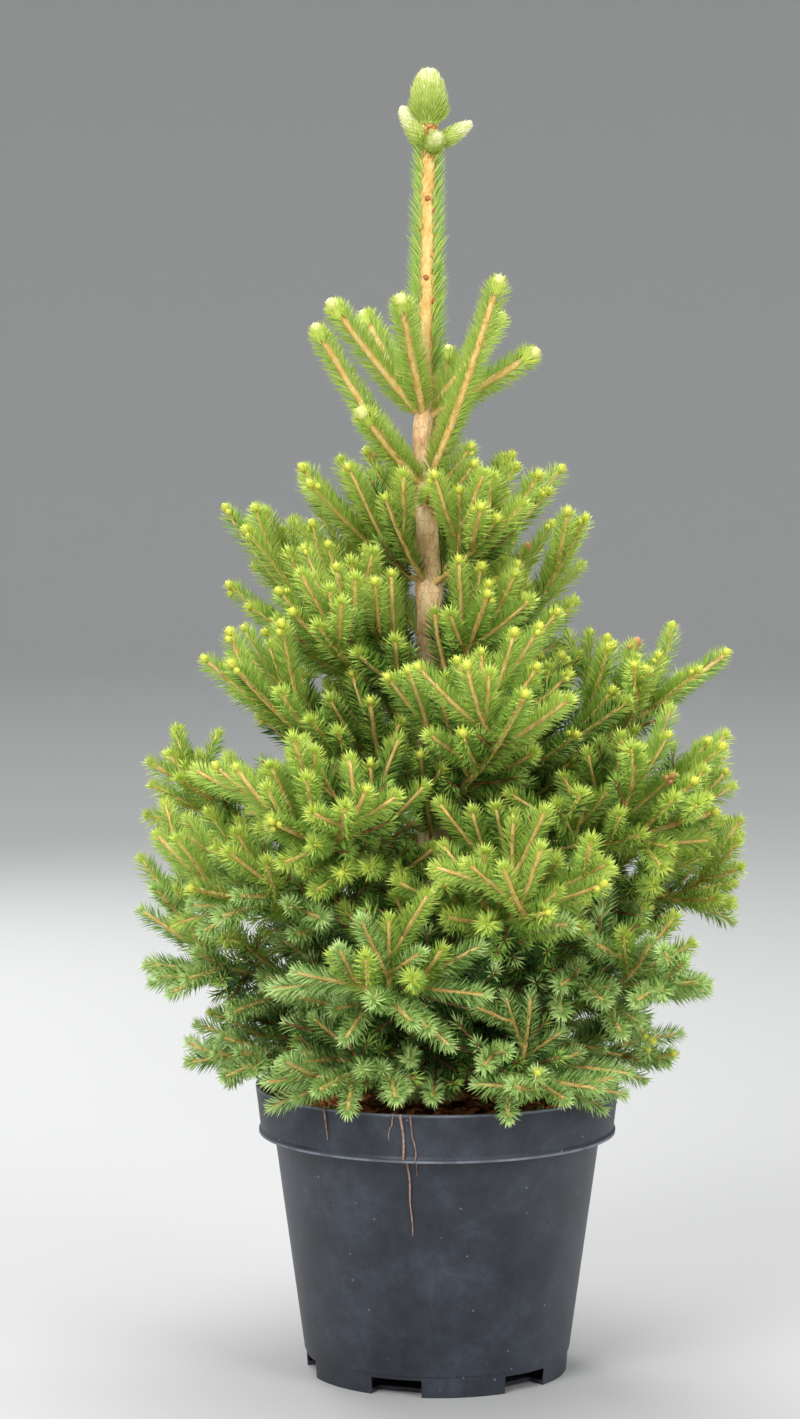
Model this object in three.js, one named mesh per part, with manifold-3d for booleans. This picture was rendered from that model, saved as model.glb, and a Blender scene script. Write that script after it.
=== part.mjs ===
// A young Norway spruce in a round nursery pot, in millimetres, +Z up.
// The origin is the centre of the pot's underside, and -Y is the plant's front.
// Each branch is a needled axis that leaves the trunk in a whorl and forks into side shoots.

import * as THREE from 'three';
import { mergeVertices } from 'three/addons/utils/BufferGeometryUtils.js';
import Module from 'manifold-3d';

const wasm = await Module();
wasm.setup();

// ---- driving sizes, mm and degrees -------------------------------------------------------------

const gap = 0.35; // between neighbouring solids
const fuseTolerance = 0.02; // edges shorter than this are closed up after a join

const pot = {
  facets: 40,
  height: 201,
  rimRadius: 127,
  bandFoot: 168, // underside of the rim band
  bandFootRadius: 123.5,
  lip: 1.2, // bead round the band's lower edge
  lipHeight: 2.5,
  bandStart: 172, // where the band's wall begins above its lip
  bodyTopRadius: 114,
  footRadius: 92,
  footStep: 15, // height of the ledge above the foot
  ledge: 1,
  wall: 2,
  floor: 3,
  notches: 6,
  notchTurn: 251.5, // azimuth of the first notch
  notchWidth: 36,
  notchHeight: 12,
  notchDepth: 16,
};

const soil = { level: 188, edgeDrop: 4, mound: 40 };

const trunk = {
  sides: 8,
  top: 846, // where the new flush begins
  // height, lean in X and Y, radius
  stations: [
    [soil.level + gap, 0, 0, 20],
    [198, 0, 0, 15.5],
    [225, 0, 0, 13],
    [330, -2, 1, 11.5],
    [450, -5, 2, 10],
    [560, -6, 2, 8.8],
    [650, -10, 0, 7.4],
    [688, -8, 0, 5.6],
    [846, -6.5, 0, 4.2],
  ],
};

const leader = { from: 692, to: 838, rows: 8, sleeve: 2, reach: 16, forward: 0.75 };
const flush = {
  length: 60,
  stem: 4,
  eggFrom: 0.3, // share of the length
  eggTo: 0.97,
  radius: 9.5,
  reach: 14,
  forward: 0.9,
  budRadius: 4.2,
  budReach: 7.5,
  // azimuth, reach and rise of each side bud
  buds: [
    [175, 18, 30],
    [5, 30, 22],
    [288, 14, 22],
  ],
};

// A whorl's height on the trunk, with the azimuth, reach and rise of each branch to its tip.
// Where azimuths aren't listed, the branches are evenly spaced from turn.
// skew lengthens the branches towards +X, bow is the share of the rise gained half-way out.
// lastFork, shoots and lift are a whorl's own side shoots, where they differ from growth's.
const whorls = [
  { name: 'top', height: 664, needle: 14, bow: 0.45, stem: 3.2, single: true,
    azimuths: [350, 45, 125, 192, 252], reaches: [76, 75, 72, 64, 52], rises: [45, 72, 73, 78, 80] },
  { name: 'upper', height: 616, needle: 14, bow: 0.4, stem: 3.6, single: true,
    azimuths: [318, 75, 170, 226], reaches: [66, 64, 76, 62], rises: [141, 96, 110, 52] },
  { name: 'shoulder', height: 548, needle: 13, bow: 0.3, stem: 3.4, lastFork: 0.55, shoots: 72, lift: 36,
    azimuths: [345, 22, 105, 192, 238, 306], reaches: [84, 62, 84, 88, 56, 76], rises: [66, 90, 84, 82, 62, 48] },
  { name: 'high', height: 468, needle: 12, bow: 0.18, stem: 4, lastFork: 0.72, shoots: 90, lift: 36,
    azimuths: [4, 60, 120, 176, 224, 292], reaches: [106, 112, 118, 142, 128, 100],
    rises: [124, 96, 108, 134, 66, 78] },
  { name: 'waist', height: 396, needle: 12, bow: 0.2, stem: 4.2, shoots: 88, lift: 32,
    count: 5, turn: 2, reach: 188, skew: 0.08, rise: 84 },
  { name: 'broad', height: 350, needle: 12, bow: 0.3, stem: 4.4, bough: 0.32,
    count: 4, turn: 334, reach: 210, skew: -0.02, rise: 48 },
  { name: 'wide', height: 306, needle: 12, bow: 0.4, stem: 4.4, bough: 0.3, lift: 20,
    count: 5, turn: 6, reach: 208, skew: 0, rise: 40 },
  { name: 'low', height: 264, needle: 12, bow: 0.5, stem: 4, look: 'lowNeedles', shoots: 76, lift: 14,
    count: 5, turn: 330, reach: 200, skew: 0, rise: 30 },
  { name: 'skirt', height: 232, needle: 11, bow: 0.2, stem: 3.6, look: 'lowNeedles', shoots: 66, lift: 6,
    count: 6, turn: 0, reach: 166, skew: -0.04, rise: -14 },
];

// Side shoots fork from every branch axis, first left and right, then upwards.
const growth = {
  seed: 7754,
  wobble: 5, // degrees, of a regular whorl's azimuths
  riseJitter: 0.3, // share of a regular whorl's rise
  firstFork: 0.2, // share of the axis
  afterBough: 0.06,
  lastFork: 0.86,
  forkSpacing: 13,
  trials: [1, 0.75, 0.55], // lengths tried for each shoot
  fork: 46, // degrees from the axis
  forkJitter: 9,
  follow: 0.6, // share of its axis's rise that a side shoot takes over
  lift: 24, // a side shoot's rise over that, at its root
  sweep: 22, // how much it turns up by its tip
  length: 84,
  lengthFrom: 1.15, // share of the length at the axis's root
  lengthFall: 0.55, // and how much of it is lost by the axis's tip
  lengthJitter: 0.18,
  uprightEvery: 3,
  upright: 56, // rise of an upward shoot
  uprightFork: 16,
  stemRadius: 1.9,
  tipShare: 0.45, // a shoot's tip over its root
  boughTaper: 1.5, // a bough's root over its tip
  breathing: 1, // left between needles and what they stop short of
  segment: 30, // length of shoot to one ring of needles
  needleEvery: 2, // faces of a shoot to one needle
  bareRoot: 0.3, // share of a side shoot with no needles, at its root
  forward: 0.8, // how far a needle leans along its shoot, per unit of reach
  bead: 11, // spacing of the beads that keep shoots apart
  axisBeads: 0.12, // share of an axis before its first bead
  shootBeads: 0.3,
  clearOwn: 0.76, // share of the beads' size kept inside one mass
  axisSamples: 40,
};

const looks = {
  plastic: { color: 0x30333a, roughness: 0.5, metalness: 0 },
  bark: { color: 0xb08a68, roughness: 0.9, metalness: 0 },
  boughBark: { color: 0x8a5a3c, roughness: 0.9, metalness: 0 },
  compost: { color: 0x5a3826, roughness: 1, metalness: 0 },
  needles: { color: 0x74914a, roughness: 0.6, metalness: 0 },
  lowNeedles: { color: 0x6f9a62, roughness: 0.6, metalness: 0 },
  newGrowth: { color: 0xb4cc62, roughness: 0.6, metalness: 0 },
};

// ---- small helpers -----------------------------------------------------------------------------

const radians = THREE.MathUtils.degToRad;
const group = new THREE.Group();

function dice(seed) {
  let state = seed;
  return () => {
    state = (state * 16807) % 2147483647;
    return state / 2147483647;
  };
}

// The direction of an azimuth and a rise, in degrees.
function heading(azimuth, rise) {
  const [turn, lift] = [radians(azimuth), radians(rise)];
  const flat = Math.cos(lift);
  return new THREE.Vector3(Math.cos(turn) * flat, Math.sin(turn) * flat, Math.sin(lift));
}

// A closed geometry's shared vertices are merged, so that only its shape is left.
function bare(geometry) {
  geometry.deleteAttribute('normal');
  geometry.deleteAttribute('uv');
  return mergeVertices(geometry);
}

function toSolid(geometry) {
  const shape = bare(geometry);
  return new wasm.Manifold(new wasm.Mesh({
    numProp: 3,
    vertProperties: new Float32Array(shape.attributes.position.array),
    triVerts: new Uint32Array(shape.index.array),
  }));
}

function toGeometry(solid) {
  const mesh = solid.getMesh();
  const geometry = new THREE.BufferGeometry();
  geometry.setAttribute('position', new THREE.BufferAttribute(mesh.vertProperties, 3));
  geometry.setIndex(new THREE.BufferAttribute(mesh.triVerts, 1));
  geometry.computeVertexNormals();
  return geometry;
}

function place(name, geometry, look) {
  const mesh = new THREE.Mesh(geometry, new THREE.MeshStandardMaterial(looks[look]));
  mesh.name = name;
  group.add(mesh);
  return mesh;
}

// ---- rods, and rods with needles, bent along a curve -------------------------------------------

const shortNeedle = 0.12; // how much needles differ in reach
const leastNeedle = 2; // a needle that would stand out by less is left off

// An upright rod of unit height, its radius scaled by profile(share of its height).
function rod(sides, rows, baseRadius, tipRadius, profile = () => 1) {
  const geometry = bare(new THREE.CylinderGeometry(tipRadius, baseRadius, 1, sides, rows));
  const position = geometry.attributes.position;
  for (let i = 0; i < position.count; i++) {
    const share = position.getY(i) + 0.5;
    const size = profile(share);
    position.setXYZ(i, position.getX(i) * size, share, position.getZ(i) * size);
  }
  return geometry;
}

// Each row of a rod's vertices is turned by half a side, so that its faces interlock.
function twist(geometry, sides, rows) {
  const position = geometry.attributes.position;
  for (let i = 0; i < position.count; i++) {
    const turn = (position.getY(i) * rows * Math.PI) / sides;
    const point = new THREE.Vector3().fromBufferAttribute(position, i);
    point.applyAxisAngle(new THREE.Vector3(0, 1, 0), -turn);
    position.setXYZ(i, point.x, point.y, point.z);
  }
  return geometry;
}

// Side faces of a rod are drawn out to the point of a needle, which leans towards the tip.
function prickle(geometry, reachAt, forward, random, every = 1) {
  const position = geometry.attributes.position;
  const points = Array.from(position.array);
  const faces = [];
  const corner = (i) => new THREE.Vector3().fromBufferAttribute(position, i);
  for (let f = 0; f < geometry.index.count; f += 3) {
    const [a, b, c] = [0, 1, 2].map((k) => geometry.index.getX(f + k));
    const centre = corner(a).add(corner(b)).add(corner(c)).divideScalar(3);
    const isCap = corner(a).y === corner(b).y && corner(b).y === corner(c).y;
    const thick = Math.hypot(centre.x, centre.z);
    const reach = isCap ? 0 : reachAt(centre.y) * (1 + shortNeedle * (2 * random() - 1));
    if (reach < thick + leastNeedle || (f / 3) % every) {
      faces.push(a, b, c);
      continue;
    }
    const point = points.length / 3;
    points.push((centre.x * reach) / thick, centre.y + forward * reach, (centre.z * reach) / thick);
    faces.push(a, b, point, b, c, point, c, a, point);
  }
  const needled = new THREE.BufferGeometry();
  needled.setAttribute('position', new THREE.Float32BufferAttribute(points, 3));
  needled.setIndex(faces);
  return needled;
}

// The upright rod follows a curve from one share of it to another. across is square to the curve.
function bend(geometry, curve, from, to, across) {
  const position = geometry.attributes.position;
  for (let i = 0; i < position.count; i++) {
    const t = from + (to - from) * position.getY(i);
    const tangent = curve.getTangent(Math.min(Math.max(t, 0), 1));
    const side = across.clone().addScaledVector(tangent, -across.dot(tangent)).normalize();
    const up = side.clone().cross(tangent);
    const point = curve.getPoint(t);
    point.addScaledVector(side, position.getX(i)).addScaledVector(up, position.getZ(i));
    position.setXYZ(i, point.x, point.y, point.z);
  }
  return geometry;
}

// ---- trunk -------------------------------------------------------------------------------------

function trunkAt(height) {
  const rows = trunk.stations;
  let k = 0;
  while (k < rows.length - 2 && height > rows[k + 1][0]) k++;
  const [low, high] = [rows[k], rows[k + 1]];
  const share = THREE.MathUtils.clamp((height - low[0]) / (high[0] - low[0]), 0, 1);
  const [x, y, radius] = [1, 2, 3].map((i) => THREE.MathUtils.lerp(low[i], high[i], share));
  return { centre: new THREE.Vector3(x, y, height), radius };
}

// The trunk's own facets, grown outwards by a little, between two heights.
function trunkRod(grow, from, to) {
  const heights = [from, ...trunk.stations.map((row) => row[0]).filter((z) => z > from && z < to), to];
  const last = heights.length - 1;
  const geometry = bare(new THREE.CylinderGeometry(1, 1, 1, trunk.sides, last));
  const position = geometry.attributes.position;
  for (let i = 0; i < position.count; i++) {
    const height = heights[Math.round((position.getY(i) + 0.5) * last)];
    const { centre, radius } = trunkAt(height);
    const size = radius + grow;
    position.setXYZ(i, centre.x + position.getX(i) * size, centre.y - position.getZ(i) * size, height);
  }
  return geometry;
}

const trunkFoot = trunk.stations[0][0];
place('trunk', trunkRod(0, trunkFoot, trunk.top), 'bark');
const trunkSpace = toSolid(trunkRod(gap / Math.cos(Math.PI / trunk.sides), trunkFoot - 1, trunk.top + gap));

// ---- pot and compost ---------------------------------------------------------------------------

function lathe(profile) {
  const geometry = new THREE.LatheGeometry(profile.map(([r, z]) => new THREE.Vector2(r, z)), pot.facets);
  return geometry.rotateX(Math.PI / 2);
}

function makePot() {
  const shoulder = pot.bandFoot + pot.wall;
  const shell = toSolid(lathe([
    [0, 0],
    [pot.footRadius - 1, 0],
    [pot.footRadius, pot.footStep],
    [pot.footRadius + pot.ledge, pot.footStep],
    [pot.bodyTopRadius, pot.bandFoot],
    [pot.bandFootRadius + pot.lip, pot.bandFoot],
    [pot.bandFootRadius + pot.lip, pot.bandFoot + pot.lipHeight],
    [pot.bandFootRadius, pot.bandStart],
    [pot.rimRadius, pot.height],
    [pot.rimRadius - pot.wall, pot.height],
    [pot.bandFootRadius - pot.wall, shoulder],
    [pot.bodyTopRadius - pot.wall, shoulder],
    [pot.footRadius - pot.wall, pot.floor],
    [0, pot.floor],
  ]));
  const notch = toSolid(new THREE.BoxGeometry(pot.notchDepth * 2, pot.notchWidth, pot.notchHeight * 2));
  let body = shell;
  for (let k = 0; k < pot.notches; k++) {
    const azimuth = pot.notchTurn + (360 / pot.notches) * k;
    body = body.subtract(notch.translate([pot.footRadius, 0, 0]).rotate([0, 0, azimuth]));
  }
  return toGeometry(body);
}

function makeSoil() {
  const inside = pot.wall + gap;
  const rimLevel = soil.level - soil.edgeDrop;
  const bandShare = (rimLevel - pot.bandStart) / (pot.height - pot.bandStart);
  const edge = THREE.MathUtils.lerp(pot.bandFootRadius, pot.rimRadius, bandShare) - inside;
  return lathe([
    [0, pot.floor + gap],
    [pot.footRadius - inside, pot.floor + gap],
    [pot.bodyTopRadius - inside, pot.bandFoot + pot.wall + gap],
    [pot.bandFootRadius - inside, pot.bandFoot + pot.wall + gap],
    [edge, rimLevel],
    [soil.mound, soil.level],
    [0, soil.level],
  ]);
}

place('pot', makePot(), 'plastic');
place('potting_soil', makeSoil(), 'compost');

// ---- leader: needles up the last year's shoot, and the new flush on top --------------------------

const needleDice = dice(growth.seed + 1);

const axisX = new THREE.Vector3(1, 0, 0);
const eggShape = (share) => Math.sin(Math.PI * Math.min(0.14 + share * 0.8, 1)) ** 0.7;

function makeFlush() {
  const foot = trunkAt(trunk.top).centre.setZ(trunk.top + gap);
  const top = foot.clone().add(new THREE.Vector3(0, 0, flush.length));
  const axis = new THREE.LineCurve3(foot, top);
  const stem = bend(rod(6, 1, flush.stem, flush.stem), axis, 0, 0.5, axisX);
  const core = twist(rod(6, 4, flush.radius, 2, eggShape), 6, 4);
  const egg = prickle(core, () => flush.reach, flush.forward / flush.length, needleDice);
  let body = toSolid(stem).add(toSolid(bend(egg, axis, flush.eggFrom, flush.eggTo, axisX)));
  for (const [azimuth, reach, rise] of flush.buds) {
    const out = heading(azimuth, 0);
    const root = foot.clone().setZ(foot.z + flush.stem);
    const control = root.clone().addScaledVector(out, reach * 0.75);
    const tip = root.clone().addScaledVector(out, reach).setZ(foot.z + rise);
    const curve = new THREE.QuadraticBezierCurve3(root, control, tip);
    const finger = twist(rod(4, 3, flush.budRadius, 1.5), 4, 3);
    const bud = prickle(finger, () => flush.budReach, flush.forward / rise, needleDice);
    body = body.add(toSolid(bend(bud, curve, 0, 1, heading(azimuth + 90, 0))));
  }
  return toGeometry(body.subtract(trunkSpace).simplify(fuseTolerance));
}

place('leader_flush', makeFlush(), 'newGrowth');

// ---- branches ------------------------------------------------------------------------------------

const random = dice(growth.seed);
const jitter = (size) => (random() * 2 - 1) * size;
const beads = [];

function branchesOf(whorl) {
  if (whorl.azimuths) {
    return whorl.azimuths.map((azimuth, i) => ({ azimuth, reach: whorl.reaches[i], rise: whorl.rises[i] }));
  }
  return Array.from({ length: whorl.count }, (_, i) => {
    const azimuth = whorl.turn + (360 / whorl.count) * i + jitter(growth.wobble);
    const reach = whorl.reach * (1 + whorl.skew * Math.cos(radians(azimuth)));
    return { azimuth, reach, rise: whorl.rise * (1 + jitter(growth.riseJitter)) };
  });
}

function axisOf(whorl, branch) {
  const root = trunkAt(whorl.height).centre;
  const out = heading(branch.azimuth, 0);
  const control = root.clone().addScaledVector(out, branch.reach / 2);
  control.z += branch.rise * whorl.bow;
  const tip = root.clone().addScaledVector(out, branch.reach);
  tip.z += branch.rise;
  return new THREE.QuadraticBezierCurve3(root, control, tip);
}

function shootCurve(root, azimuth, rise, sweep, length) {
  const control = root.clone().addScaledVector(heading(azimuth, rise), length / 2);
  const tip = control.clone().addScaledVector(heading(azimuth, rise + sweep), length / 2);
  return new THREE.QuadraticBezierCurve3(root, control, tip);
}

// Needles are kept short enough to clear the trunk and the needles of the next branch or leader.
function needleRoom(point, branch) {
  const axis = trunkAt(point.z);
  const out = Math.hypot(point.x - axis.centre.x, point.y - axis.centre.y);
  const nearest = Math.min(...branch.neighbours.map((other) => point.distanceTo(other)));
  return Math.min(branch.whorl.needle, nearest / 2 - growth.breathing, out - axis.radius - growth.breathing);
}

// Beads strung along a curve stand for the space that it and its needles take up.
function beadsAlong(curve, from, radiusAt, owner) {
  const count = Math.max(2, Math.ceil((curve.getLength() * (1 - from)) / growth.bead));
  return Array.from({ length: count + 1 }, (_, i) => {
    const t = from + ((1 - from) * i) / count;
    const point = curve.getPoint(t);
    return { point, radius: Math.hypot(Math.max(radiusAt(point), 2), growth.bead / 2), owner, curve };
  });
}

function clearOfPot({ point, radius }) {
  const out = Math.hypot(point.x, point.y);
  return point.z > pot.height + radius || out > pot.rimRadius + radius;
}

function clearOfTrunk({ point, radius }) {
  const axis = trunkAt(point.z);
  return point.distanceTo(axis.centre) > axis.radius + radius;
}

function clearOfShoots(bead, parent) {
  return beads.every((other) => {
    if (other.curve === parent) return true;
    const reach = (bead.radius + other.radius) * (other.owner === bead.owner ? growth.clearOwn : 1);
    return bead.point.distanceTo(other.point) > reach;
  });
}

function needled(curve, from, radius, reachAt, azimuth, bareRoot = 0) {
  const length = curve.getLength() * (1 - from);
  const rows = Math.max(2, Math.round(length / growth.segment));
  const across = heading(azimuth + 90, 0);
  const reachOf = (share) => (share < bareRoot ? 0 : reachAt(curve.getPoint(from + (1 - from) * share)));
  const shape = twist(rod(3, rows, radius, radius * growth.tipShare), 3, rows);
  const brush = prickle(shape, reachOf, growth.forward / length, needleDice, growth.needleEvery);
  return bend(brush, curve, from, 1, across);
}

const branches = whorls.flatMap((whorl) => branchesOf(whorl).map((row, i) => {
  const branch = { ...row, name: `${whorl.name}_${i + 1}`, whorl };
  branch.axis = axisOf(whorl, branch);
  branch.samples = branch.axis.getPoints(growth.axisSamples);
  return branch;
}));

const leaderAxis = new THREE.LineCurve3(trunkAt(leader.from).centre, trunkAt(trunk.top).centre);
const leaderPoints = leaderAxis.getPoints(growth.axisSamples);

for (const branch of branches) {
  const others = branches.filter((other) => other !== branch);
  branch.neighbours = [...leaderPoints, ...others.flatMap((other) => other.samples)];
  branch.reachAt = (point) => needleRoom(point, branch);
  beads.push(...beadsAlong(branch.axis, growth.axisBeads, branch.reachAt, branch.name));
}

// A shoot that would touch another branch, the trunk or the pot is tried shorter, then skipped.
function trySprout(branch, parent, share, azimuth, rise, size) {
  const root = parent.getPoint(share);
  for (const cut of growth.trials) {
    const curve = shootCurve(root, azimuth, rise, growth.sweep, size * cut);
    const trial = beadsAlong(curve, growth.shootBeads, () => branch.whorl.needle, branch.name);
    if (trial.every((bead) => clearOfPot(bead) && clearOfTrunk(bead) && clearOfShoots(bead, parent))) {
      beads.push(...trial);
      return { curve, azimuth };
    }
  }
  return null;
}

function forksOf(branch) {
  const { axis, whorl } = branch;
  if (whorl.single) return [];
  const first = Math.max(growth.firstFork, (whorl.bough ?? 0) + growth.afterBough);
  const last = whorl.lastFork ?? growth.lastFork;
  const count = Math.floor((axis.getLength() * (last - first)) / growth.forkSpacing);
  const shoots = [];
  for (let i = 0; i < count; i++) {
    const t = first + ((last - first) * (i + 0.5)) / count;
    const axisRise = THREE.MathUtils.radToDeg(Math.asin(axis.getTangent(t).z));
    const upwards = i % growth.uprightEvery === growth.uprightEvery - 1;
    const side = i % 2 === 0 ? 1 : -1;
    const fork = side * (upwards ? growth.uprightFork : growth.fork);
    const azimuth = branch.azimuth + fork + jitter(growth.forkJitter);
    const lift = whorl.lift ?? growth.lift;
    const rise = (upwards ? growth.upright : axisRise * growth.follow + lift) + jitter(growth.forkJitter);
    const longest = (whorl.shoots ?? growth.length) * (growth.lengthFrom - growth.lengthFall * t);
    const size = longest * (1 + jitter(growth.lengthJitter));
    const shoot = trySprout(branch, axis, t, azimuth, rise, size);
    if (shoot) shoots.push(shoot);
  }
  return shoots;
}

for (const branch of branches) {
  branch.shoots = forksOf(branch);
}

function makeBough({ axis, whorl, azimuth }) {
  const rodShape = rod(6, 4, whorl.stem * growth.boughTaper, whorl.stem);
  const limb = bend(rodShape, axis, 0, whorl.bough, heading(azimuth + 90, 0));
  return toGeometry(toSolid(limb).subtract(trunkSpace));
}

function makeFoliage({ axis, whorl, azimuth, reachAt, shoots }) {
  const from = whorl.bough ? whorl.bough + gap / axis.getLength() : 0;
  let mass = toSolid(needled(axis, from, whorl.stem, reachAt, azimuth));
  const fullReach = () => whorl.needle;
  for (const shoot of shoots) {
    const spray = needled(shoot.curve, 0, growth.stemRadius, fullReach, shoot.azimuth, growth.bareRoot);
    mass = mass.add(toSolid(spray));
  }
  return toGeometry(mass.subtract(trunkSpace).simplify(fuseTolerance));
}

for (const branch of branches) {
  if (branch.whorl.bough) place(`bough_${branch.name}`, makeBough(branch), 'boughBark');
  place(`foliage_${branch.name}`, makeFoliage(branch), branch.whorl.look ?? 'needles');
}

function makeLeaderNeedles() {
  const foot = trunkAt(leader.from);
  const top = trunkAt(leader.to);
  const axis = new THREE.LineCurve3(foot.centre, top.centre);
  const others = branches.flatMap((branch) => branch.samples);
  const reachAt = (share) => {
    const point = axis.getPoint(share);
    const nearest = Math.min(...others.map((other) => point.distanceTo(other)));
    return Math.min(leader.reach, nearest / 2 - growth.breathing);
  };
  const sleeve = rod(trunk.sides, leader.rows, foot.radius + leader.sleeve, top.radius + leader.sleeve);
  const needles = prickle(sleeve, reachAt, leader.forward / axis.getLength(), needleDice);
  return toGeometry(toSolid(bend(needles, axis, 0, 1, axisX)).subtract(trunkSpace));
}

place('leader_needles', makeLeaderNeedles(), 'needles');

export default group;
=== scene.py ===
# A young Norway spruce in its nursery pot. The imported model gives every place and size, and the
# limbs, twigs and needles grow by the same seeded rule as its solids, carried on to finer twigs.
import math

import bmesh
import bpy
import numpy as np
from mathutils import Matrix, Vector, noise


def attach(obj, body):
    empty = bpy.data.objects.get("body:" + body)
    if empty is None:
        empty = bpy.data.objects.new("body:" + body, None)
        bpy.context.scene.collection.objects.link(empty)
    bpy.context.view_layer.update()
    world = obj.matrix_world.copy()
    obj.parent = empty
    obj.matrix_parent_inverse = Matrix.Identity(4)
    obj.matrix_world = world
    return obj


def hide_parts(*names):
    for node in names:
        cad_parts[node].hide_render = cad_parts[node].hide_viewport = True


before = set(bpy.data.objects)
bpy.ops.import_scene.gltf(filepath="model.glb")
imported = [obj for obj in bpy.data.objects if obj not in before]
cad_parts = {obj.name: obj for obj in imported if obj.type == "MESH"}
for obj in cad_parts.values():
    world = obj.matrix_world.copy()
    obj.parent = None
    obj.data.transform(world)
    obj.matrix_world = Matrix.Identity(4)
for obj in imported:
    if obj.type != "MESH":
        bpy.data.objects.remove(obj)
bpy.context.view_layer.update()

mm = 0.001
goldenTurn = math.pi * (3 - math.sqrt(5))
upwards = np.array([0.0, 0.0, 1.0])


# ---- camera, floor and lights

stageSetup = {
    "lens": 95.1,
    "sensorWidth": 36,
    "cameraPlace": (-0.026, -2.598, 0.656),
    "pitch": 4.25,  # degrees downwards
    # a round floor that curves up into a wall
    "floorRadius": 8.0,
    "sweepRadius": 4.0,
    "sweepSteps": 16,
    "roundSteps": 96,
    "wallHeight": 9.0,
    "floorColour": (0.46, 0.46, 0.457),
    "floorRoughness": 0.75,
    "worldColour": (0.94, 0.97, 1.0),
    "worldStrength": 0.62,
    # name, place, aimed at, size, watts
    "lamps": [
        ("keyLamp", (-1.3, -2.3, 2.3), (0, 0, 0.45), 1.4, 74),
        ("sideLamp", (1.9, -1.9, 1.6), (0, 0, 0.4), 1.2, 38),
        ("topLamp", (0.2, 0.4, 2.8), (0, 0, 0.4), 1.6, 24),
        ("skyLamp", (0, 1, 9), (0, 0, 0), 8, 380),
        ("backLamp", (-1.2, 2.2, 1.6), (0, 0, 0.4), 1.4, 36),
    ],
}


# 0-255 screen colour to linear.
def srgb(red, green, blue):
    shares = [value / 255 for value in (red, green, blue)]
    linear = [s / 12.92 if s <= 0.04045 else ((s + 0.055) / 1.055) ** 2.4 for s in shares]
    return (*linear, 1.0)


# A new object in the scene.
def placed(name, data):
    thing = bpy.data.objects.new(name, data)
    bpy.context.scene.collection.objects.link(thing)
    return thing


# An outline of (radius, height) turned all the way round.
def turned(profile, steps, merge=1e-6):
    bm = bmesh.new()
    verts = [bm.verts.new((radius, 0, height)) for radius, height in profile]
    edges = [bm.edges.new(pair) for pair in zip(verts, verts[1:])]
    bmesh.ops.spin(bm, geom=verts + edges, cent=(0, 0, 0), axis=(0, 0, 1), angle=math.tau, steps=steps,
                   use_merge=True)
    bmesh.ops.remove_doubles(bm, verts=bm.verts, dist=merge)
    bmesh.ops.recalc_face_normals(bm, faces=bm.faces)
    return bm


# Points and faces of a small shape that a recipe makes in a bmesh.
def shapeOf(recipe):
    bm = bmesh.new()
    recipe(bm)
    points = np.array([vert.co for vert in bm.verts])
    faces = np.array([[vert.index for vert in face.verts] for face in bm.faces])
    bm.free()
    return points, faces


def inMetres(profile):
    return [(radius * mm, height * mm) for radius, height in profile]


# A smooth-shaded mesh from a bmesh, which is freed.
def smoothMesh(name, bm):
    mesh = bpy.data.meshes.new(name)
    bm.to_mesh(mesh)
    bm.free()
    mesh.polygons.foreach_set("use_smooth", [True] * len(mesh.polygons))
    return mesh


# Flat, then a quarter round, then upright.
def makeFloor():
    look = stageSetup
    flat, sweep, steps = look["floorRadius"], look["sweepRadius"], look["sweepSteps"]
    profile = [(0, 0)]
    for k in range(steps + 1):
        angle = math.radians(90 * k / steps)
        profile.append((flat + sweep * math.sin(angle), sweep * (1 - math.cos(angle))))
    profile.append((flat + sweep, look["wallHeight"]))
    floorMesh = smoothMesh("floor", turned(profile, look["roundSteps"], merge=1e-5))
    floor = placed("floor", floorMesh)
    paint = bpy.data.materials.new("floorPaint")
    paint.use_nodes = True
    shader = paint.node_tree.nodes["Principled BSDF"]
    shader.inputs["Base Color"].default_value = (*look["floorColour"], 1)
    shader.inputs["Roughness"].default_value = look["floorRoughness"]
    floorMesh.materials.append(paint)


def setStage():
    scene = bpy.context.scene
    scene.view_settings.view_transform = "Standard"
    lens = bpy.data.cameras.new("camera")
    lens.lens = stageSetup["lens"]
    lens.sensor_width = stageSetup["sensorWidth"]
    lens.sensor_fit = "AUTO"
    camera = placed("camera", lens)
    camera.location = stageSetup["cameraPlace"]
    camera.rotation_euler = (math.radians(90 - stageSetup["pitch"]), 0, 0)
    scene.camera = camera

    makeFloor()
    world = bpy.data.worlds.new("studio")
    world.use_nodes = True
    background = world.node_tree.nodes["Background"]
    background.inputs["Color"].default_value = (*stageSetup["worldColour"], 1)
    background.inputs["Strength"].default_value = stageSetup["worldStrength"]
    scene.world = world
    for name, place, aim, size, watts in stageSetup["lamps"]:
        data = bpy.data.lights.new(name, "AREA")
        data.size = size
        data.energy = watts
        lamp = placed(name, data)
        lamp.location = place
        lamp.rotation_euler = (Vector(aim) - Vector(place)).to_track_quat("-Z", "Y").to_euler()


setStage()
print("stage set")


# ---- materials

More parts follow.
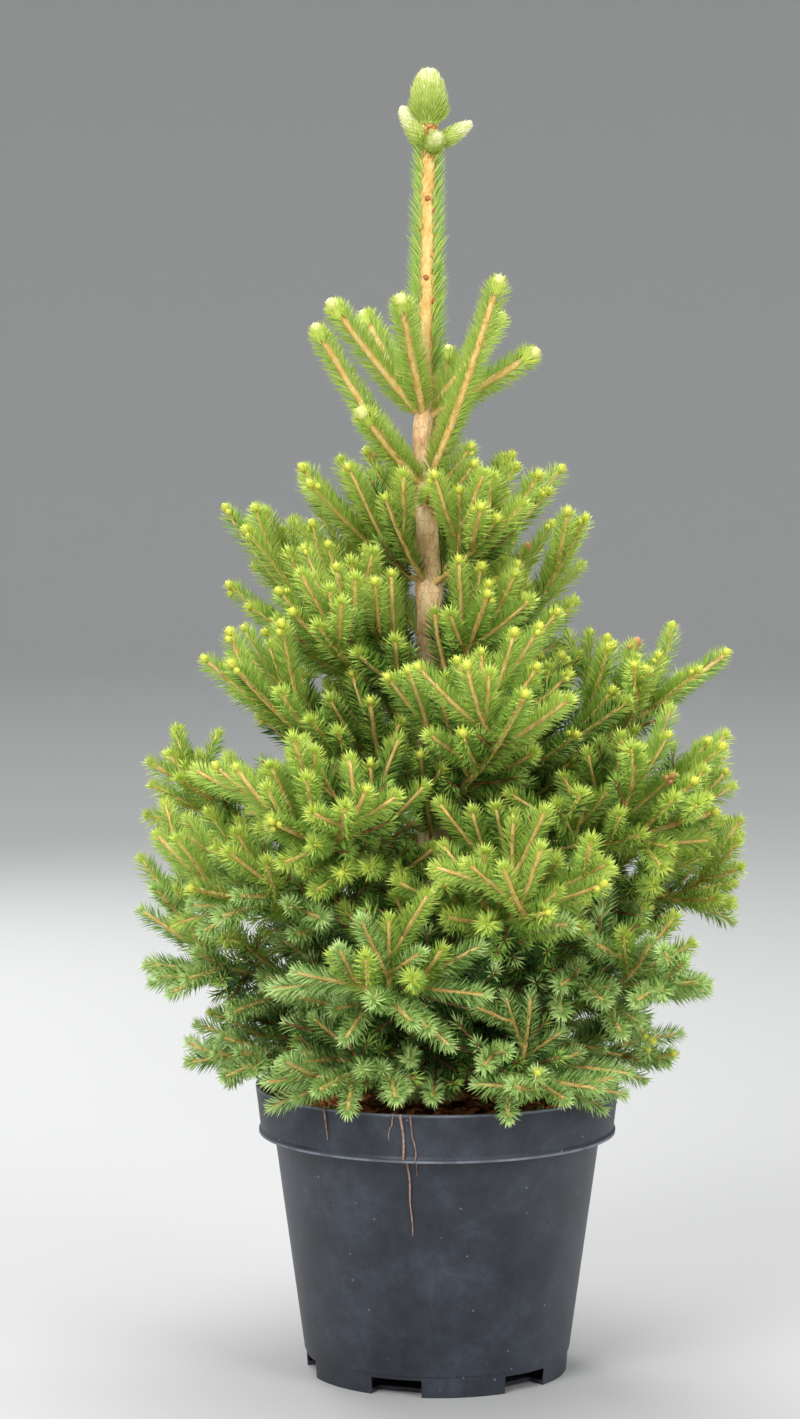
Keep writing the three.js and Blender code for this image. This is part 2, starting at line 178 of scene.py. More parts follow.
needlePalette = {
    # name: (sRGB colour, roughness)
    # painted light and shade: needleTop and needleSun are lit greens for sprays on top and outside the crown,
    # and needleLeaf and needleMid lie between
    "needleTop": ((188, 208, 104), 0.42),
    "needleSun": ((200, 220, 106), 0.42),
    "needleLeaf": ((174, 204, 92), 0.42),
    "needleMid": ((150, 186, 84), 0.45),
    # painted shade: the dark green of sprays inside the crown
    "needleShaded": ((64, 102, 44), 0.5),
    "needleLow": ((166, 201, 112), 0.45),
    # painted shade: the dark green of low sprays inside the crown
    "needleLowShaded": ((104, 144, 68), 0.48),
    "needleTip": ((212, 224, 100), 0.42),
    "needlePale": ((202, 226, 148), 0.42),
    "flushGreen": ((164, 188, 82), 0.42),
    "flushLeaf": ((194, 212, 106), 0.42),
    "flushPale": ((212, 222, 130), 0.4),
    "flushCream": ((236, 238, 188), 0.4),
}
waxyGloss = 0.35
budPalette = {
    "budCream": ((220, 218, 138), 0.35),
    "budYellow": ((206, 208, 78), 0.38),
    "budPink": ((216, 144, 108), 0.4),
    "budBrown": ((208, 158, 92), 0.5),
    "budRust": ((184, 118, 70), 0.55),
}


def plainMaterial(name, colour, roughness):
    material = bpy.data.materials.new(name)
    material.use_nodes = True
    shader = material.node_tree.nodes["Principled BSDF"]
    shader.inputs["Base Color"].default_value = srgb(*colour)
    shader.inputs["Roughness"].default_value = roughness
    shader.inputs["Specular IOR Level"].default_value = waxyGloss
    return material


materials = {
    name: plainMaterial(name, *look) for name, look in {**needlePalette, **budPalette}.items()
}


# A new material with its tree, its shader, and a maker of linked nodes.
def nodeKit(name):
    material = bpy.data.materials.new(name)
    material.use_nodes = True
    tree = material.node_tree

    def add(kind, settings=None, **sockets):
        node = tree.nodes.new(kind)
        for key, value in (settings or {}).items():
            setattr(node, key, value)
        for key, value in sockets.items():
            socket = node.inputs[int(key[1:]) if key[1:].isdigit() else key.replace("_", " ")]
            if isinstance(value, bpy.types.NodeSocket):
                tree.links.new(value, socket)
            else:
                socket.default_value = value
        return node

    return material, tree.nodes["Principled BSDF"], tree, add


# A colour ramp over (position, linear colour) stops.
def ramp(add, factor, *stops):
    node = add("ShaderNodeValToRGB", s0=factor)
    line = node.color_ramp
    while len(line.elements) < len(stops):
        line.elements.new(0.5)
    for element, (position, colour) in zip(line.elements, stops):
        element.position = position
        element.color = colour
    return node.outputs["Color"]


def objectPlace(add, scale=(1, 1, 1)):
    place = add("ShaderNodeTexCoord").outputs["Object"]
    return add("ShaderNodeMapping", Vector=place, Scale=scale).outputs["Vector"]


# One colour over another by a mask or a share, or multiplied.
def mixColours(tree, add, share, under, over, blend="MIX"):
    node = add("ShaderNodeMix", {"data_type": "RGBA", "blend_type": blend})
    for socket, value in ((node.inputs[0], share), (node.inputs[6], under), (node.inputs[7], over)):
        if isinstance(value, bpy.types.NodeSocket):
            tree.links.new(value, socket)
        else:
            socket.default_value = value
    return node.outputs[2]


def addBump(tree, add, shader, height, strength, depth):
    bump = add("ShaderNodeBump", Height=height, Strength=strength, Distance=depth)
    tree.links.new(bump.outputs["Normal"], shader.inputs["Normal"])


def grey(value):
    return (value, value, value, 1)


# Finishes of mottled materials. With seams between flakes: how much finer than the patches these are,
# how dark and wide their seams, and how strongly mixed in.
barkFinish = {
    "detail": 6.0, "grain": 0.62, "stops": (0.28, 0.44, 0.62),
    "flakes": 3.2, "seamShade": 0.5, "seamWidth": 0.07, "seamShare": 0.7,
    "bump": 0.5, "bumpDepth": 0.001, "roughness": 0.85, "gloss": 0.25,
}
crumbFinish = {
    "detail": 8.0, "grain": 0.7, "stops": (0.32, 0.5, 0.7), "bump": 0.8, "bumpDepth": 0.002,
    "roughness": 0.95, "gloss": 0.2,
}
mottledKinds = {
    # name: (finish, pale, middle and dark colour, size of the pattern, stretch along Z)
    "trunkBark": (barkFinish, (255, 228, 182), (250, 202, 152), (206, 150, 106), 95, 0.45),
    "boughBark": (barkFinish, (184, 136, 88), (134, 92, 52), (80, 54, 32), 140, 0.6),
    "shootBark": (barkFinish, (248, 218, 146), (238, 194, 114), (206, 146, 74), 260, 0.5),
    "twigBark": (barkFinish, (246, 212, 142), (234, 190, 110), (200, 146, 80), 240, 0.6),
    "compost": (crumbFinish, (184, 118, 78), (130, 78, 50), (66, 40, 28), 120, 1),
    "barkChip": (crumbFinish, (250, 184, 128), (216, 134, 84), (140, 78, 48), 160, 1),
    "darkChip": (crumbFinish, (156, 92, 60), (110, 60, 40), (60, 32, 24), 160, 1),
    "moss": (crumbFinish, (196, 200, 84), (148, 158, 60), (88, 96, 36), 220, 1),
    "rootlet": (crumbFinish, (204, 176, 162), (166, 136, 122), (120, 94, 84), 300, 1),
}


# Rough and mottled in three colours, with darker seams where the finish has flakes.
def mottledMaterial(name, look, pale, mid, dark, size, stretch):
    material, shader, tree, add = nodeKit(name)
    place = objectPlace(add, (1, 1, stretch))
    patches = add("ShaderNodeTexNoise", Vector=place, Scale=size, Detail=look["detail"],
                  Roughness=look["grain"])
    colours = [srgb(*colour) for colour in (dark, mid, pale)]
    colour = ramp(add, patches.outputs["Fac"], *zip(look["stops"], colours))
    if "flakes" in look:
        flakes = add("ShaderNodeTexVoronoi", {"feature": "DISTANCE_TO_EDGE"}, Vector=place,
                     Scale=size * look["flakes"])
        seams = ramp(add, flakes.outputs["Distance"], (0.0, grey(look["seamShade"])),
                     (look["seamWidth"], grey(1)))
        colour = mixColours(tree, add, look["seamShare"], colour, seams, "MULTIPLY")
    tree.links.new(colour, shader.inputs["Base Color"])
    addBump(tree, add, shader, patches.outputs["Fac"], look["bump"], look["bumpDepth"])
    shader.inputs["Roughness"].default_value = look["roughness"]
    shader.inputs["Specular IOR Level"].default_value = look["gloss"]
    return material


potFinish = {
    "hazeSize": 19.0, "hazeDetail": 10.0, "hazeGrain": 0.78,
    "hazeStops": [(0.34, (32, 36, 44)), (0.50, (47, 52, 62)), (0.64, (65, 71, 83)), (0.80, (98, 104, 117))],
    "speckSize": 75.0, "speckFrom": 0.035, "speckTo": 0.075, "speckColour": (126, 124, 118),
    # heights in metres between which the painted highlight lines of the lip and the rim are placed, and their
    # shares of it
    "highlightLow": 0.16, "highlightHigh": 0.20,
    "highlightStops": [(0.185, 0), (0.20, 1), (0.225, 1), (0.25, 0), (0.975, 0), (1.0, 0.7)],
    "highlightColour": (128, 134, 144),
    "highlightPatchSize": 55.0, "highlightPatchDetail": 4.0, "highlightPatchStops": [(0.38, 0.45), (0.56, 1)],
    "roughness": (0.36, 0.62),
    "grainSize": 900.0, "grainDetail": 2.0, "bump": 0.12, "bumpDepth": 0.0005,
}


# Blue-black nursery plastic with dusty haze and pale specks, and a painted highlight along the lip and the
# rim, broken into patches by noise.
def potMaterial():
    look = potFinish
    material, shader, tree, add = nodeKit("nurseryPlastic")
    place = objectPlace(add)
    haze = add("ShaderNodeTexNoise", Vector=place, Scale=look["hazeSize"], Detail=look["hazeDetail"],
               Roughness=look["hazeGrain"])
    colour = ramp(add, haze.outputs["Fac"], *[(at, srgb(*shade)) for at, shade in look["hazeStops"]])
    specks = add("ShaderNodeTexVoronoi", {"feature": "F1"}, Vector=place, Scale=look["speckSize"])
    speckMask = ramp(add, specks.outputs["Distance"], (look["speckFrom"], grey(1)),
                     (look["speckTo"], grey(0)))
    specked = mixColours(tree, add, speckMask, colour, srgb(*look["speckColour"]))

    # painted highlight: pale lines along the lip's lower edge and the rim's top, placed by height
    height = add("ShaderNodeSeparateXYZ", Vector=objectPlace(add)).outputs["Z"]
    level = add("ShaderNodeMapRange", Value=height)
    level.inputs["From Min"].default_value = look["highlightLow"]
    level.inputs["From Max"].default_value = look["highlightHigh"]
    edges = ramp(add, level.outputs["Result"], *[(at, grey(shade)) for at, shade in look["highlightStops"]])
    # noise that breaks the painted highlight into patches
    highlightPatches = add("ShaderNodeTexNoise", Vector=place, Scale=look["highlightPatchSize"], Detail=look["highlightPatchDetail"])
    highlightPatchMask = ramp(add, highlightPatches.outputs["Fac"], *[(at, grey(shade)) for at, shade in look["highlightPatchStops"]])
    paintedHighlight = mixColours(tree, add, 1.0, edges, highlightPatchMask, "MULTIPLY")
    mixed = mixColours(tree, add, paintedHighlight, specked, srgb(*look["highlightColour"]))
    tree.links.new(mixed, shader.inputs["Base Color"])

    rough = add("ShaderNodeMapRange", Value=haze.outputs["Fac"])
    rough.inputs["To Min"].default_value, rough.inputs["To Max"].default_value = look["roughness"]
    tree.links.new(rough.outputs["Result"], shader.inputs["Roughness"])
    grain = add("ShaderNodeTexNoise", Vector=place, Scale=look["grainSize"], Detail=look["grainDetail"])
    addBump(tree, add, shader, grain.outputs["Fac"], look["bump"], look["bumpDepth"])
    return material


for name, kind in mottledKinds.items():
    materials[name] = mottledMaterial(name, *kind)
materials["nurseryPlastic"] = potMaterial()
print("materials mixed")


# ---- joined meshes

def finishPiece(name, mesh, nodes, names):
    piece = placed(name, mesh)
    for materialName in names:
        mesh.materials.append(materials[materialName])
    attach(piece, "root")
    if nodes:
        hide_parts(*nodes)
    return piece


# Triangles of many small shapes that become one piece.
class Heap:

    def __init__(self, names):
        self.names = list(names)
        self.points, self.faces, self.kinds, self.count = [], [], [], 0

    # points (n, 3) in mm, faces (m, 3), and a material name or an array of material numbers.
    def add(self, points, faces, kind):
        if isinstance(kind, str):
            kind = np.full(len(faces), self.names.index(kind))
        self.points.append(points)
        self.faces.append(faces + self.count)
        self.kinds.append(kind)
        self.count += len(points)

    def build(self, name, slot, nodes=(), smooth=False):
        points = np.concatenate(self.points) * mm
        faces = np.concatenate(self.faces)
        mesh = bpy.data.meshes.new(name)
        mesh.vertices.add(len(points))
        mesh.vertices.foreach_set("co", points.ravel().astype(np.float32))
        mesh.loops.add(faces.size)
        mesh.loops.foreach_set("vertex_index", faces.ravel().astype(np.int32))
        mesh.polygons.add(len(faces))
        mesh.polygons.foreach_set("loop_start", np.arange(0, faces.size, 3, dtype=np.int32))
        mesh.polygons.foreach_set("material_index", np.concatenate(self.kinds).astype(np.int32))
        mesh.polygons.foreach_set("use_smooth", np.full(len(faces), smooth))
        mesh.update(calc_edges=True)
        mesh.validate()
        print(f"{name}: {len(faces)} triangles")
        return finishPiece(name, mesh, nodes, self.names)


# ---- the source's growth rule

trunkStations = np.array([
    # height, lean in X and Y, radius
    [188.35, 0, 0, 20], [198, 0, 0, 15.5], [225, 0, 0, 13], [330, -2, 1, 11.5], [450, -5, 2, 10],
    [560, -6, 2, 8.8], [650, -10, 0, 7.4], [688, -8, 0, 5.6], [846, -6.5, 0, 4.2],
])
potSizes = {
    "height": 201, "rimRadius": 127, "bandFoot": 168, "bandFootRadius": 123.5, "lip": 1.2, "lipHeight": 2.5,
    "bandStart": 172, "bodyTopRadius": 114, "footRadius": 92, "footStep": 15, "ledge": 1, "wall": 2,
    "floor": 3, "notches": 6, "notchTurn": 251.5, "notchWidth": 36, "notchHeight": 12, "notchDepth": 16,
}
whorls = [
    {"name": "top", "height": 664, "needle": 14, "bow": 0.45, "stem": 3.2, "single": True,
     "azimuths": [350, 45, 125, 192, 252], "reaches": [76, 75, 72, 64, 52], "rises": [45, 72, 73, 78, 80]},
    {"name": "upper", "height": 616, "needle": 14, "bow": 0.4, "stem": 3.6, "single": True,
     "azimuths": [318, 75, 170, 226], "reaches": [66, 64, 76, 62], "rises": [141, 96, 110, 52]},
    {"name": "shoulder", "height": 548, "needle": 13, "bow": 0.3, "stem": 3.4,
     "lastFork": 0.55, "shoots": 72, "lift": 36,
     "azimuths": [345, 22, 105, 192, 238, 306], "reaches": [84, 62, 84, 88, 56, 76],
     "rises": [66, 90, 84, 82, 62, 48]},
    {"name": "high", "height": 468, "needle": 12, "bow": 0.18, "stem": 4,
     "lastFork": 0.72, "shoots": 90, "lift": 36,
     "azimuths": [4, 60, 120, 176, 224, 292], "reaches": [106, 112, 118, 142, 128, 100],
     "rises": [124, 96, 108, 134, 66, 78]},
    {"name": "waist", "height": 396, "needle": 12, "bow": 0.2, "stem": 4.2, "shoots": 88, "lift": 32,
     "count": 5, "turn": 2, "reach": 188, "skew": 0.08, "rise": 84},
    {"name": "broad", "height": 350, "needle": 12, "bow": 0.3, "stem": 4.4, "bough": 0.32,
     "count": 4, "turn": 334, "reach": 210, "skew": -0.02, "rise": 48},
    {"name": "wide", "height": 306, "needle": 12, "bow": 0.4, "stem": 4.4, "bough": 0.3, "lift": 20,
     "count": 5, "turn": 6, "reach": 208, "skew": 0, "rise": 40},
    {"name": "low", "height": 264, "needle": 12, "bow": 0.5, "stem": 4, "shoots": 76, "lift": 14,
     "count": 5, "turn": 330, "reach": 200, "skew": 0, "rise": 30},
    {"name": "skirt", "height": 232, "needle": 11, "bow": 0.2, "stem": 3.6, "shoots": 66, "lift": 6,
     "count": 6, "turn": 0, "reach": 166, "skew": -0.04, "rise": -14},
]
growth = {
    "seed": 7754, "wobble": 5, "riseJitter": 0.3, "firstFork": 0.2, "afterBough": 0.06, "lastFork": 0.86,
    "forkSpacing": 13, "trials": [1, 0.75, 0.55], "fork": 46, "forkJitter": 9, "follow": 0.6, "lift": 24,
    "sweep": 22, "length": 84, "lengthFrom": 1.15, "lengthFall": 0.55, "lengthJitter": 0.18,
    "uprightEvery": 3, "upright": 56, "uprightFork": 16, "boughTaper": 1.5, "breathing": 1, "bead": 11,
    "leastRoom": 2,
    "axisBeads": 0.12, "shootBeads": 0.3, "clearOwn": 0.76, "axisSamples": 40, "leaderFrom": 692,
}


def dice(seed):
    state = seed

    def roll():
        nonlocal state
        state = state * 16807 % 2147483647
        return state / 2147483647

    return roll


roll = dice(growth["seed"])


def jitter(size):
    return (roll() * 2 - 1) * size


def heading(azimuth, rise):
    turn, lift = math.radians(azimuth), math.radians(rise)
    return np.array([math.cos(turn) * math.cos(lift), math.sin(turn) * math.cos(lift), math.sin(lift)])


# Centres (n, 3) and radii of the trunk at these heights.
def trunkAt(height):
    height = np.atleast_1d(np.asarray(height, float))
    x, y, radius = (np.interp(height, trunkStations[:, 0], trunkStations[:, k]) for k in (1, 2, 3))
    return np.stack([x, y, height], 1), radius


def pointsOn(curve, t):
    t = np.atleast_1d(t)[:, None]
    root, control, tip = curve
    return root * (1 - t) ** 2 + control * (2 * t * (1 - t)) + tip * t ** 2


def tangentsOn(curve, t):
    t = np.atleast_1d(t)[:, None]
    root, control, tip = curve
    slope = (control - root) * (1 - t) + (tip - control) * t
    return slope / np.linalg.norm(slope, axis=1, keepdims=True)


def lengthOf(curve):
    points = pointsOn(curve, np.linspace(0, 1, 201))
    return float(np.linalg.norm(np.diff(points, axis=0), axis=1).sum())


def branchesOf(whorl):
    if "azimuths" in whorl:
        return list(zip(whorl["azimuths"], whorl["reaches"], whorl["rises"]))
    rows = []
    for i in range(whorl["count"]):
        azimuth = whorl["turn"] + 360 / whorl["count"] * i + jitter(growth["wobble"])
        reach = whorl["reach"] * (1 + whorl["skew"] * math.cos(math.radians(azimuth)))
        rows.append((azimuth, reach, whorl["rise"] * (1 + jitter(growth["riseJitter"]))))
    return rows


def axisOf(whorl, azimuth, reach, rise):
    root = trunkAt(whorl["height"])[0][0]
    out = heading(azimuth, 0)
    return root, root + out * reach / 2 + upwards * rise * whorl["bow"], root + out * reach + upwards * rise


def shootCurve(root, azimuth, rise, sweep, length):
    control = root + heading(azimuth, rise) * length / 2
    return root, control, control + heading(azimuth, rise + sweep) * length / 2


# Balls along every limb and twig, by which a new one is kept clear of the others.
beads = {
    "points": np.zeros((0, 3)), "radii": np.zeros(0), "owners": np.zeros(0, int), "curves": np.zeros(0, int),
}
curveCount = 0


def beadsAlong(curve, start, radiusAt):
    count = max(2, math.ceil(lengthOf(curve) * (1 - start) / growth["bead"]))
    points = pointsOn(curve, start + (1 - start) * np.arange(count + 1) / count)
    return points, np.hypot(np.maximum(radiusAt(points), growth["leastRoom"]), growth["bead"] / 2)


def keepBeads(points, radii, owner, curveId):
    for key, values in (("points", points), ("radii", radii)):
        beads[key] = np.concatenate([beads[key], values])
    for key, value in (("owners", owner), ("curves", curveId)):
        beads[key] = np.concatenate([beads[key], np.full(len(points), value)])


def clearOfPot(points, radii):
    out = np.hypot(points[:, 0], points[:, 1])
    above = points[:, 2] > potSizes["height"] + radii
    return bool(np.all(above | (out > potSizes["rimRadius"] + radii)))


def clearOfTrunk(points, radii):
    centres, trunkRadii = trunkAt(points[:, 2])
    return bool(np.all(np.linalg.norm(points - centres, axis=1) > trunkRadii + radii))


def clearOfShoots(points, radii, owner, parentId, clearOwn, clearOther=1.0):
    distance = np.linalg.norm(points[:, None] - beads["points"][None], axis=2)
    share = np.where(beads["owners"] == owner, clearOwn, clearOther)
    reach = (radii[:, None] + beads["radii"][None]) * share[None]
    return bool(np.all((distance > reach) | (beads["curves"] == parentId)[None]))


def nextCurve():
    global curveCount
    curveCount += 1
    return curveCount


branches = []
for whorl in whorls:
    for k, (azimuth, reach, rise) in enumerate(branchesOf(whorl)):
        axis = axisOf(whorl, azimuth, reach, rise)
        branches.append({
            "name": f"{whorl['name']}_{k + 1}", "whorl": whorl, "azimuth": azimuth, "axis": axis,
            "id": nextCurve(), "samples": pointsOn(axis, np.linspace(0, 1, growth["axisSamples"] + 1)),
        })

leaderRoot, leaderTip = trunkAt([growth["leaderFrom"], trunkStations[-1, 0]])[0]
leaderPoints = leaderRoot + (leaderTip - leaderRoot) * np.linspace(0, 1, growth["axisSamples"] + 1)[:, None]


# How long needles may be to clear the trunk and the next branch or leader; this sizes the room of a branch's
# axis beads.
def needleRoom(points, branch):
    centres, radii = trunkAt(points[:, 2])
    out = np.hypot(points[:, 0] - centres[:, 0], points[:, 1] - centres[:, 1])
    nearest = np.linalg.norm(points[:, None] - branch["neighbours"][None], axis=2).min(axis=1)
    spare = growth["breathing"]
    return np.minimum(np.minimum(branch["whorl"]["needle"], nearest / 2 - spare), out - radii - spare)


for number, branch in enumerate(branches):
    others = [other["samples"] for other in branches if other is not branch]
    branch["number"] = number
    branch["neighbours"] = np.concatenate([leaderPoints, *others])
    points, radii = beadsAlong(branch["axis"], growth["axisBeads"], lambda p: needleRoom(p, branch))
    keepBeads(points, radii, number, branch["id"])


# The side shoots of a branch's axis, as in the solids.
def forksOf(branch):
    whorl, axis = branch["whorl"], branch["axis"]
    if whorl.get("single"):
        return []
    first = max(growth["firstFork"], whorl.get("bough", 0) + growth["afterBough"])
    last = whorl.get("lastFork", growth["lastFork"])
    lift = whorl.get("lift", growth["lift"])
    count = math.floor(lengthOf(axis) * (last - first) / growth["forkSpacing"])
    shoots = []
    for i in range(count):
        t = first + (last - first) * (i + 0.5) / count
        axisRise = math.degrees(math.asin(tangentsOn(axis, t)[0][2]))
        upright = i % growth["uprightEvery"] == growth["uprightEvery"] - 1
        side = 1 if i % 2 == 0 else -1
        fork = side * (growth["uprightFork"] if upright else growth["fork"])
        azimuth = branch["azimuth"] + fork + jitter(growth["forkJitter"])
        rise = growth["upright"] if upright else axisRise * growth["follow"] + lift
        rise += jitter(growth["forkJitter"])
        longest = whorl.get("shoots", growth["length"]) * (growth["lengthFrom"] - growth["lengthFall"] * t)
        size = longest * (1 + jitter(growth["lengthJitter"]))
        root = pointsOn(axis, t)[0]
        for cut in growth["trials"]:
            curve = shootCurve(root, azimuth, rise, growth["sweep"], size * cut)
            points, radii = beadsAlong(curve, growth["shootBeads"],
                                       lambda p: np.full(len(p), whorl["needle"]))
            if (clearOfPot(points, radii) and clearOfTrunk(points, radii)
                    and clearOfShoots(points, radii, branch["number"], branch["id"], growth["clearOwn"])):
                curveId = nextCurve()
                keepBeads(points, radii, branch["number"], curveId)
                shoots.append({"curve": curve, "id": curveId, "upright": upright})
                break
    return shoots


for branch in branches:
    branch["shoots"] = forksOf(branch)
print("side shoots:", sum(len(branch["shoots"]) for branch in branches))


# ---- the finer twigs

fineTwigs = {
    "seed": 7756,
    # share of the beads' size kept clear of the same branch's twigs and of others, share of the crown's
    # outline that tips may reach, and the least length of a twig
    "outer": {"own": 0.6, "other": 0.64, "reach": 1, "least": {"rising": 40, "spreading": 27}},
    "inner": {"own": 0.38, "other": 0.42, "reach": 0.8, "least": {"rising": 20, "spreading": 18}},
    "needleShare": 0.8,  # needles that a trial makes room for
    "freeRoot": 0.4,  # share of a twig near its root that needs no room
    "trials": [1, 0.8, 0.62, 0.48],
    "potRoom": 0.7, "trunkRoom": 0.6,  # share of the room that it needs beside the pot and the trunk
    "early": 0.5,  # share of a twig's turn that it has made at its root
    "inward": 0.25,  # how far the upper side of a limb leans to the trunk
    "placeJitter": 0.25,  # of the spacing
    "forkJitter": 9,
    "roll": {"rising": 34, "spreading": 48},  # degrees out of the spray's plane
    "raisedEvery": 4, "raised": 18, "others": -6,  # every so many stand up by these degrees
    # length at the parent's root and how it falls to the tip, its spread, and no longer than what is
    # left of the parent and a few mm
    "lengthFrom": 1.1, "lengthFall": 0.45, "lengths": (0.8, 1.2), "restOfParent": 1.05, "pastParent": 14,
    "risingFrom": 380,  # height of the first whorl whose branches rise
    "pastBranch": 12,  # how far a tip may stand past its branch's own, mm
    "parentLength": 34,  # least length of a twig that carries others
    # room, what they grow on, from and to share of it, spacing, fork, length, forward sweep
    "rising": [
        ("outer", "axis", 0.10, 0.66, 8, 34, 104, 0.5),
        ("outer", "shoot", 0.12, 0.56, 10, 34, 78, 0.5),
        ("outer", "axis", 0.08, 0.78, 7, 46, 76, 0.5),
        ("outer", "twig", 0.15, 0.55, 12, 36, 62, 0.5),
        ("outer", "shoot", 0.16, 0.7, 9, 46, 56, 0.5),
        ("inner", "axis", 0.06, 0.7, 7, 52, 46, 0.4),
        ("inner", "shoot", 0.05, 0.5, 10, 50, 40, 0.4),
    ],
    "spreading": [
        ("outer", "axis", 0.16, 0.80, 8.5, 42, 74, 0.5),
        ("outer", "shoot", 0.2, 0.68, 11, 38, 60, 0.5),
        ("outer", "axis", 0.10, 0.88, 7.5, 52, 58, 0.4),
        ("outer", "twig", 0.25, 0.66, 12, 40, 48, 0.5),
        ("outer", "shoot", 0.2, 0.82, 9, 50, 46, 0.4),
        ("inner", "axis", 0.06, 0.8, 6.5, 54, 42, 0.4),
        ("inner", "shoot", 0.05, 0.7, 9, 52, 38, 0.4),
    ],
    "skipped": {"shoulder": (2, 3, 6)},  # passes that a whorl goes without
    # how much a whorl's twigs turn up, and their length over the pass's own
    "habit": {
        "shoulder": (0.66, 1.06), "high": (0.6, 1.06), "waist": (0.5, 1.0), "broad": (0.3, 1.06),
        "wide": (0.08, 1.02), "low": (-0.1, 1.0), "skirt": (-0.16, 0.94),
    },
    # height, count, length and rise of the small shoots between whorls
    "internodes": [
        (206, 9, 128, 4), (216, 10, 140, 8), (244, 9, 150, 6), (252, 8, 120, 14), (280, 8, 100, 20),
        (292, 8, 96, 24), (328, 8, 104, 26), (366, 8, 112, 32), (382, 8, 124, 38), (412, 8, 140, 42),
        (430, 8, 146, 46), (448, 8, 144, 49), (484, 8, 138, 50), (500, 8, 126, 55), (518, 7, 112, 60),
        (534, 6, 90, 62), (568, 6, 76, 60), (596, 5, 48, 46), (612, 6, 50, 36),
    ],
    # their turn from one level to the next, how far turn, height and rise vary, and their sizes
    "levelTurn": 31, "turnEither": 12, "heightEither": 7, "internodeRise": 14, "internodeSizes": (0.8, 1.25),
    "rootDepth": 0.5,  # share of the trunk's radius from which they spring
    # shoots from the trunk below this height bend down, and all others up, degrees
    "droopBelow": 230, "bendDown": -14, "bendUp": 12,
    # height, azimuth, length and rise of single shoots: before the upper trunk, up both flanks, at the foot
    "single": [
        (606, 273, 34, 8), (596, 306, 46, 40), (614, 238, 46, 44),
        (474, 196, 176, 46), (462, 186, 170, 40), (448, 180, 168, 31), (436, 190, 172, 24),
        (486, 168, 160, 52), (452, 352, 128, 36), (470, 342, 120, 46), (556, 336, 96, 50), (566, 10, 88, 48),
        (217, 268, 120, 5), (218, 280, 118, 5), (218, 256, 122, 4), (222, 274, 84, 10),
    ],
    "openFront": (508, 588, 13),  # between these heights no twig hides the trunk, mm either side
    "openFrom": 0.2, "openSteps": 9,  # where and how often a twig is tested for it
}
fineRandom = np.random.default_rng(fineTwigs["seed"])


def unit(vector):
    return vector / np.linalg.norm(vector)


def units(rows):
    return rows / np.linalg.norm(rows, axis=1, keepdims=True)


# The crown's outline: how far a tip may stand from the trunk, less on the right of the upper part.
crownOutline = {
    "heights": [190, 205, 240, 280, 300, 350, 390, 440, 485, 505, 540, 590, 605, 622, 636, 650, 700],
    "reaches": [142, 160, 186, 202, 208, 212, 216, 212, 212, 176, 156, 150, 142, 102, 74, 52, 40],
    "slimmer": ([490, 510, 590, 620], [0, 0.3, 0.22, 0]),
}


def crownReach(tip):
    slimmer = np.interp(tip[2], *crownOutline["slimmer"])
    rightward = max(tip[0] / (math.hypot(tip[0], tip[1]) + 1), 0)
    return np.interp(tip[2], crownOutline["heights"], crownOutline["reaches"]) * (1 - slimmer * rightward)


# Point, tangent, up and side of a curve at t.
def frameAt(curve, t):
    point, tangent = pointsOn(curve, t)[0], tangentsOn(curve, t)[0]
    inward = unit(np.array([-point[0], -point[1], 1e-3]))
    up = upwards - tangent * tangent[2] + fineTwigs["inward"] * (inward - tangent * inward.dot(tangent))
    up = unit(up - tangent * up.dot(tangent))
    return point, tangent, up, np.cross(tangent, up)


# Whether a twig crosses the stretch of trunk that shows from the front.
def hidesTrunk(curve):
    low, high, either = fineTwigs["openFront"]
    points = pointsOn(curve, np.linspace(fineTwigs["openFrom"], 1, fineTwigs["openSteps"]))
    middle = trunkAt(points[:, 2])[0][:, 0]
    across = (points[:, 2] > low) & (points[:, 2] < high) & (np.abs(points[:, 0] - middle) < either)
    return bool(np.any(across & (points[:, 1] < 0)))


# A trial twig is kept where it stays in the crown, and clear of pot, trunk and other twigs.
def tryTwig(branch, curve, parentId, spread, room="outer"):
    tip, space = curve[2], fineTwigs[room]
    if math.hypot(tip[0], tip[1]) > min(crownReach(tip) * space["reach"], spread):
        return None
    needle = branch["whorl"]["needle"] * fineTwigs["needleShare"]
    if hidesTrunk(curve):
        return None
    points, radii = beadsAlong(curve, fineTwigs["freeRoot"], lambda p: np.full(len(p), needle))
    if not clearOfPot(points, radii * fineTwigs["potRoom"]):
        return None
    if not clearOfTrunk(points, radii * fineTwigs["trunkRoom"]):
        return None
    if not clearOfShoots(points, radii, branch["number"], parentId, space["own"], space["other"]):
        return None
    curveId = nextCurve()
    keepBeads(points, radii, branch["number"], curveId)
    return {"curve": curve, "id": curveId, "inner": room == "inner"}


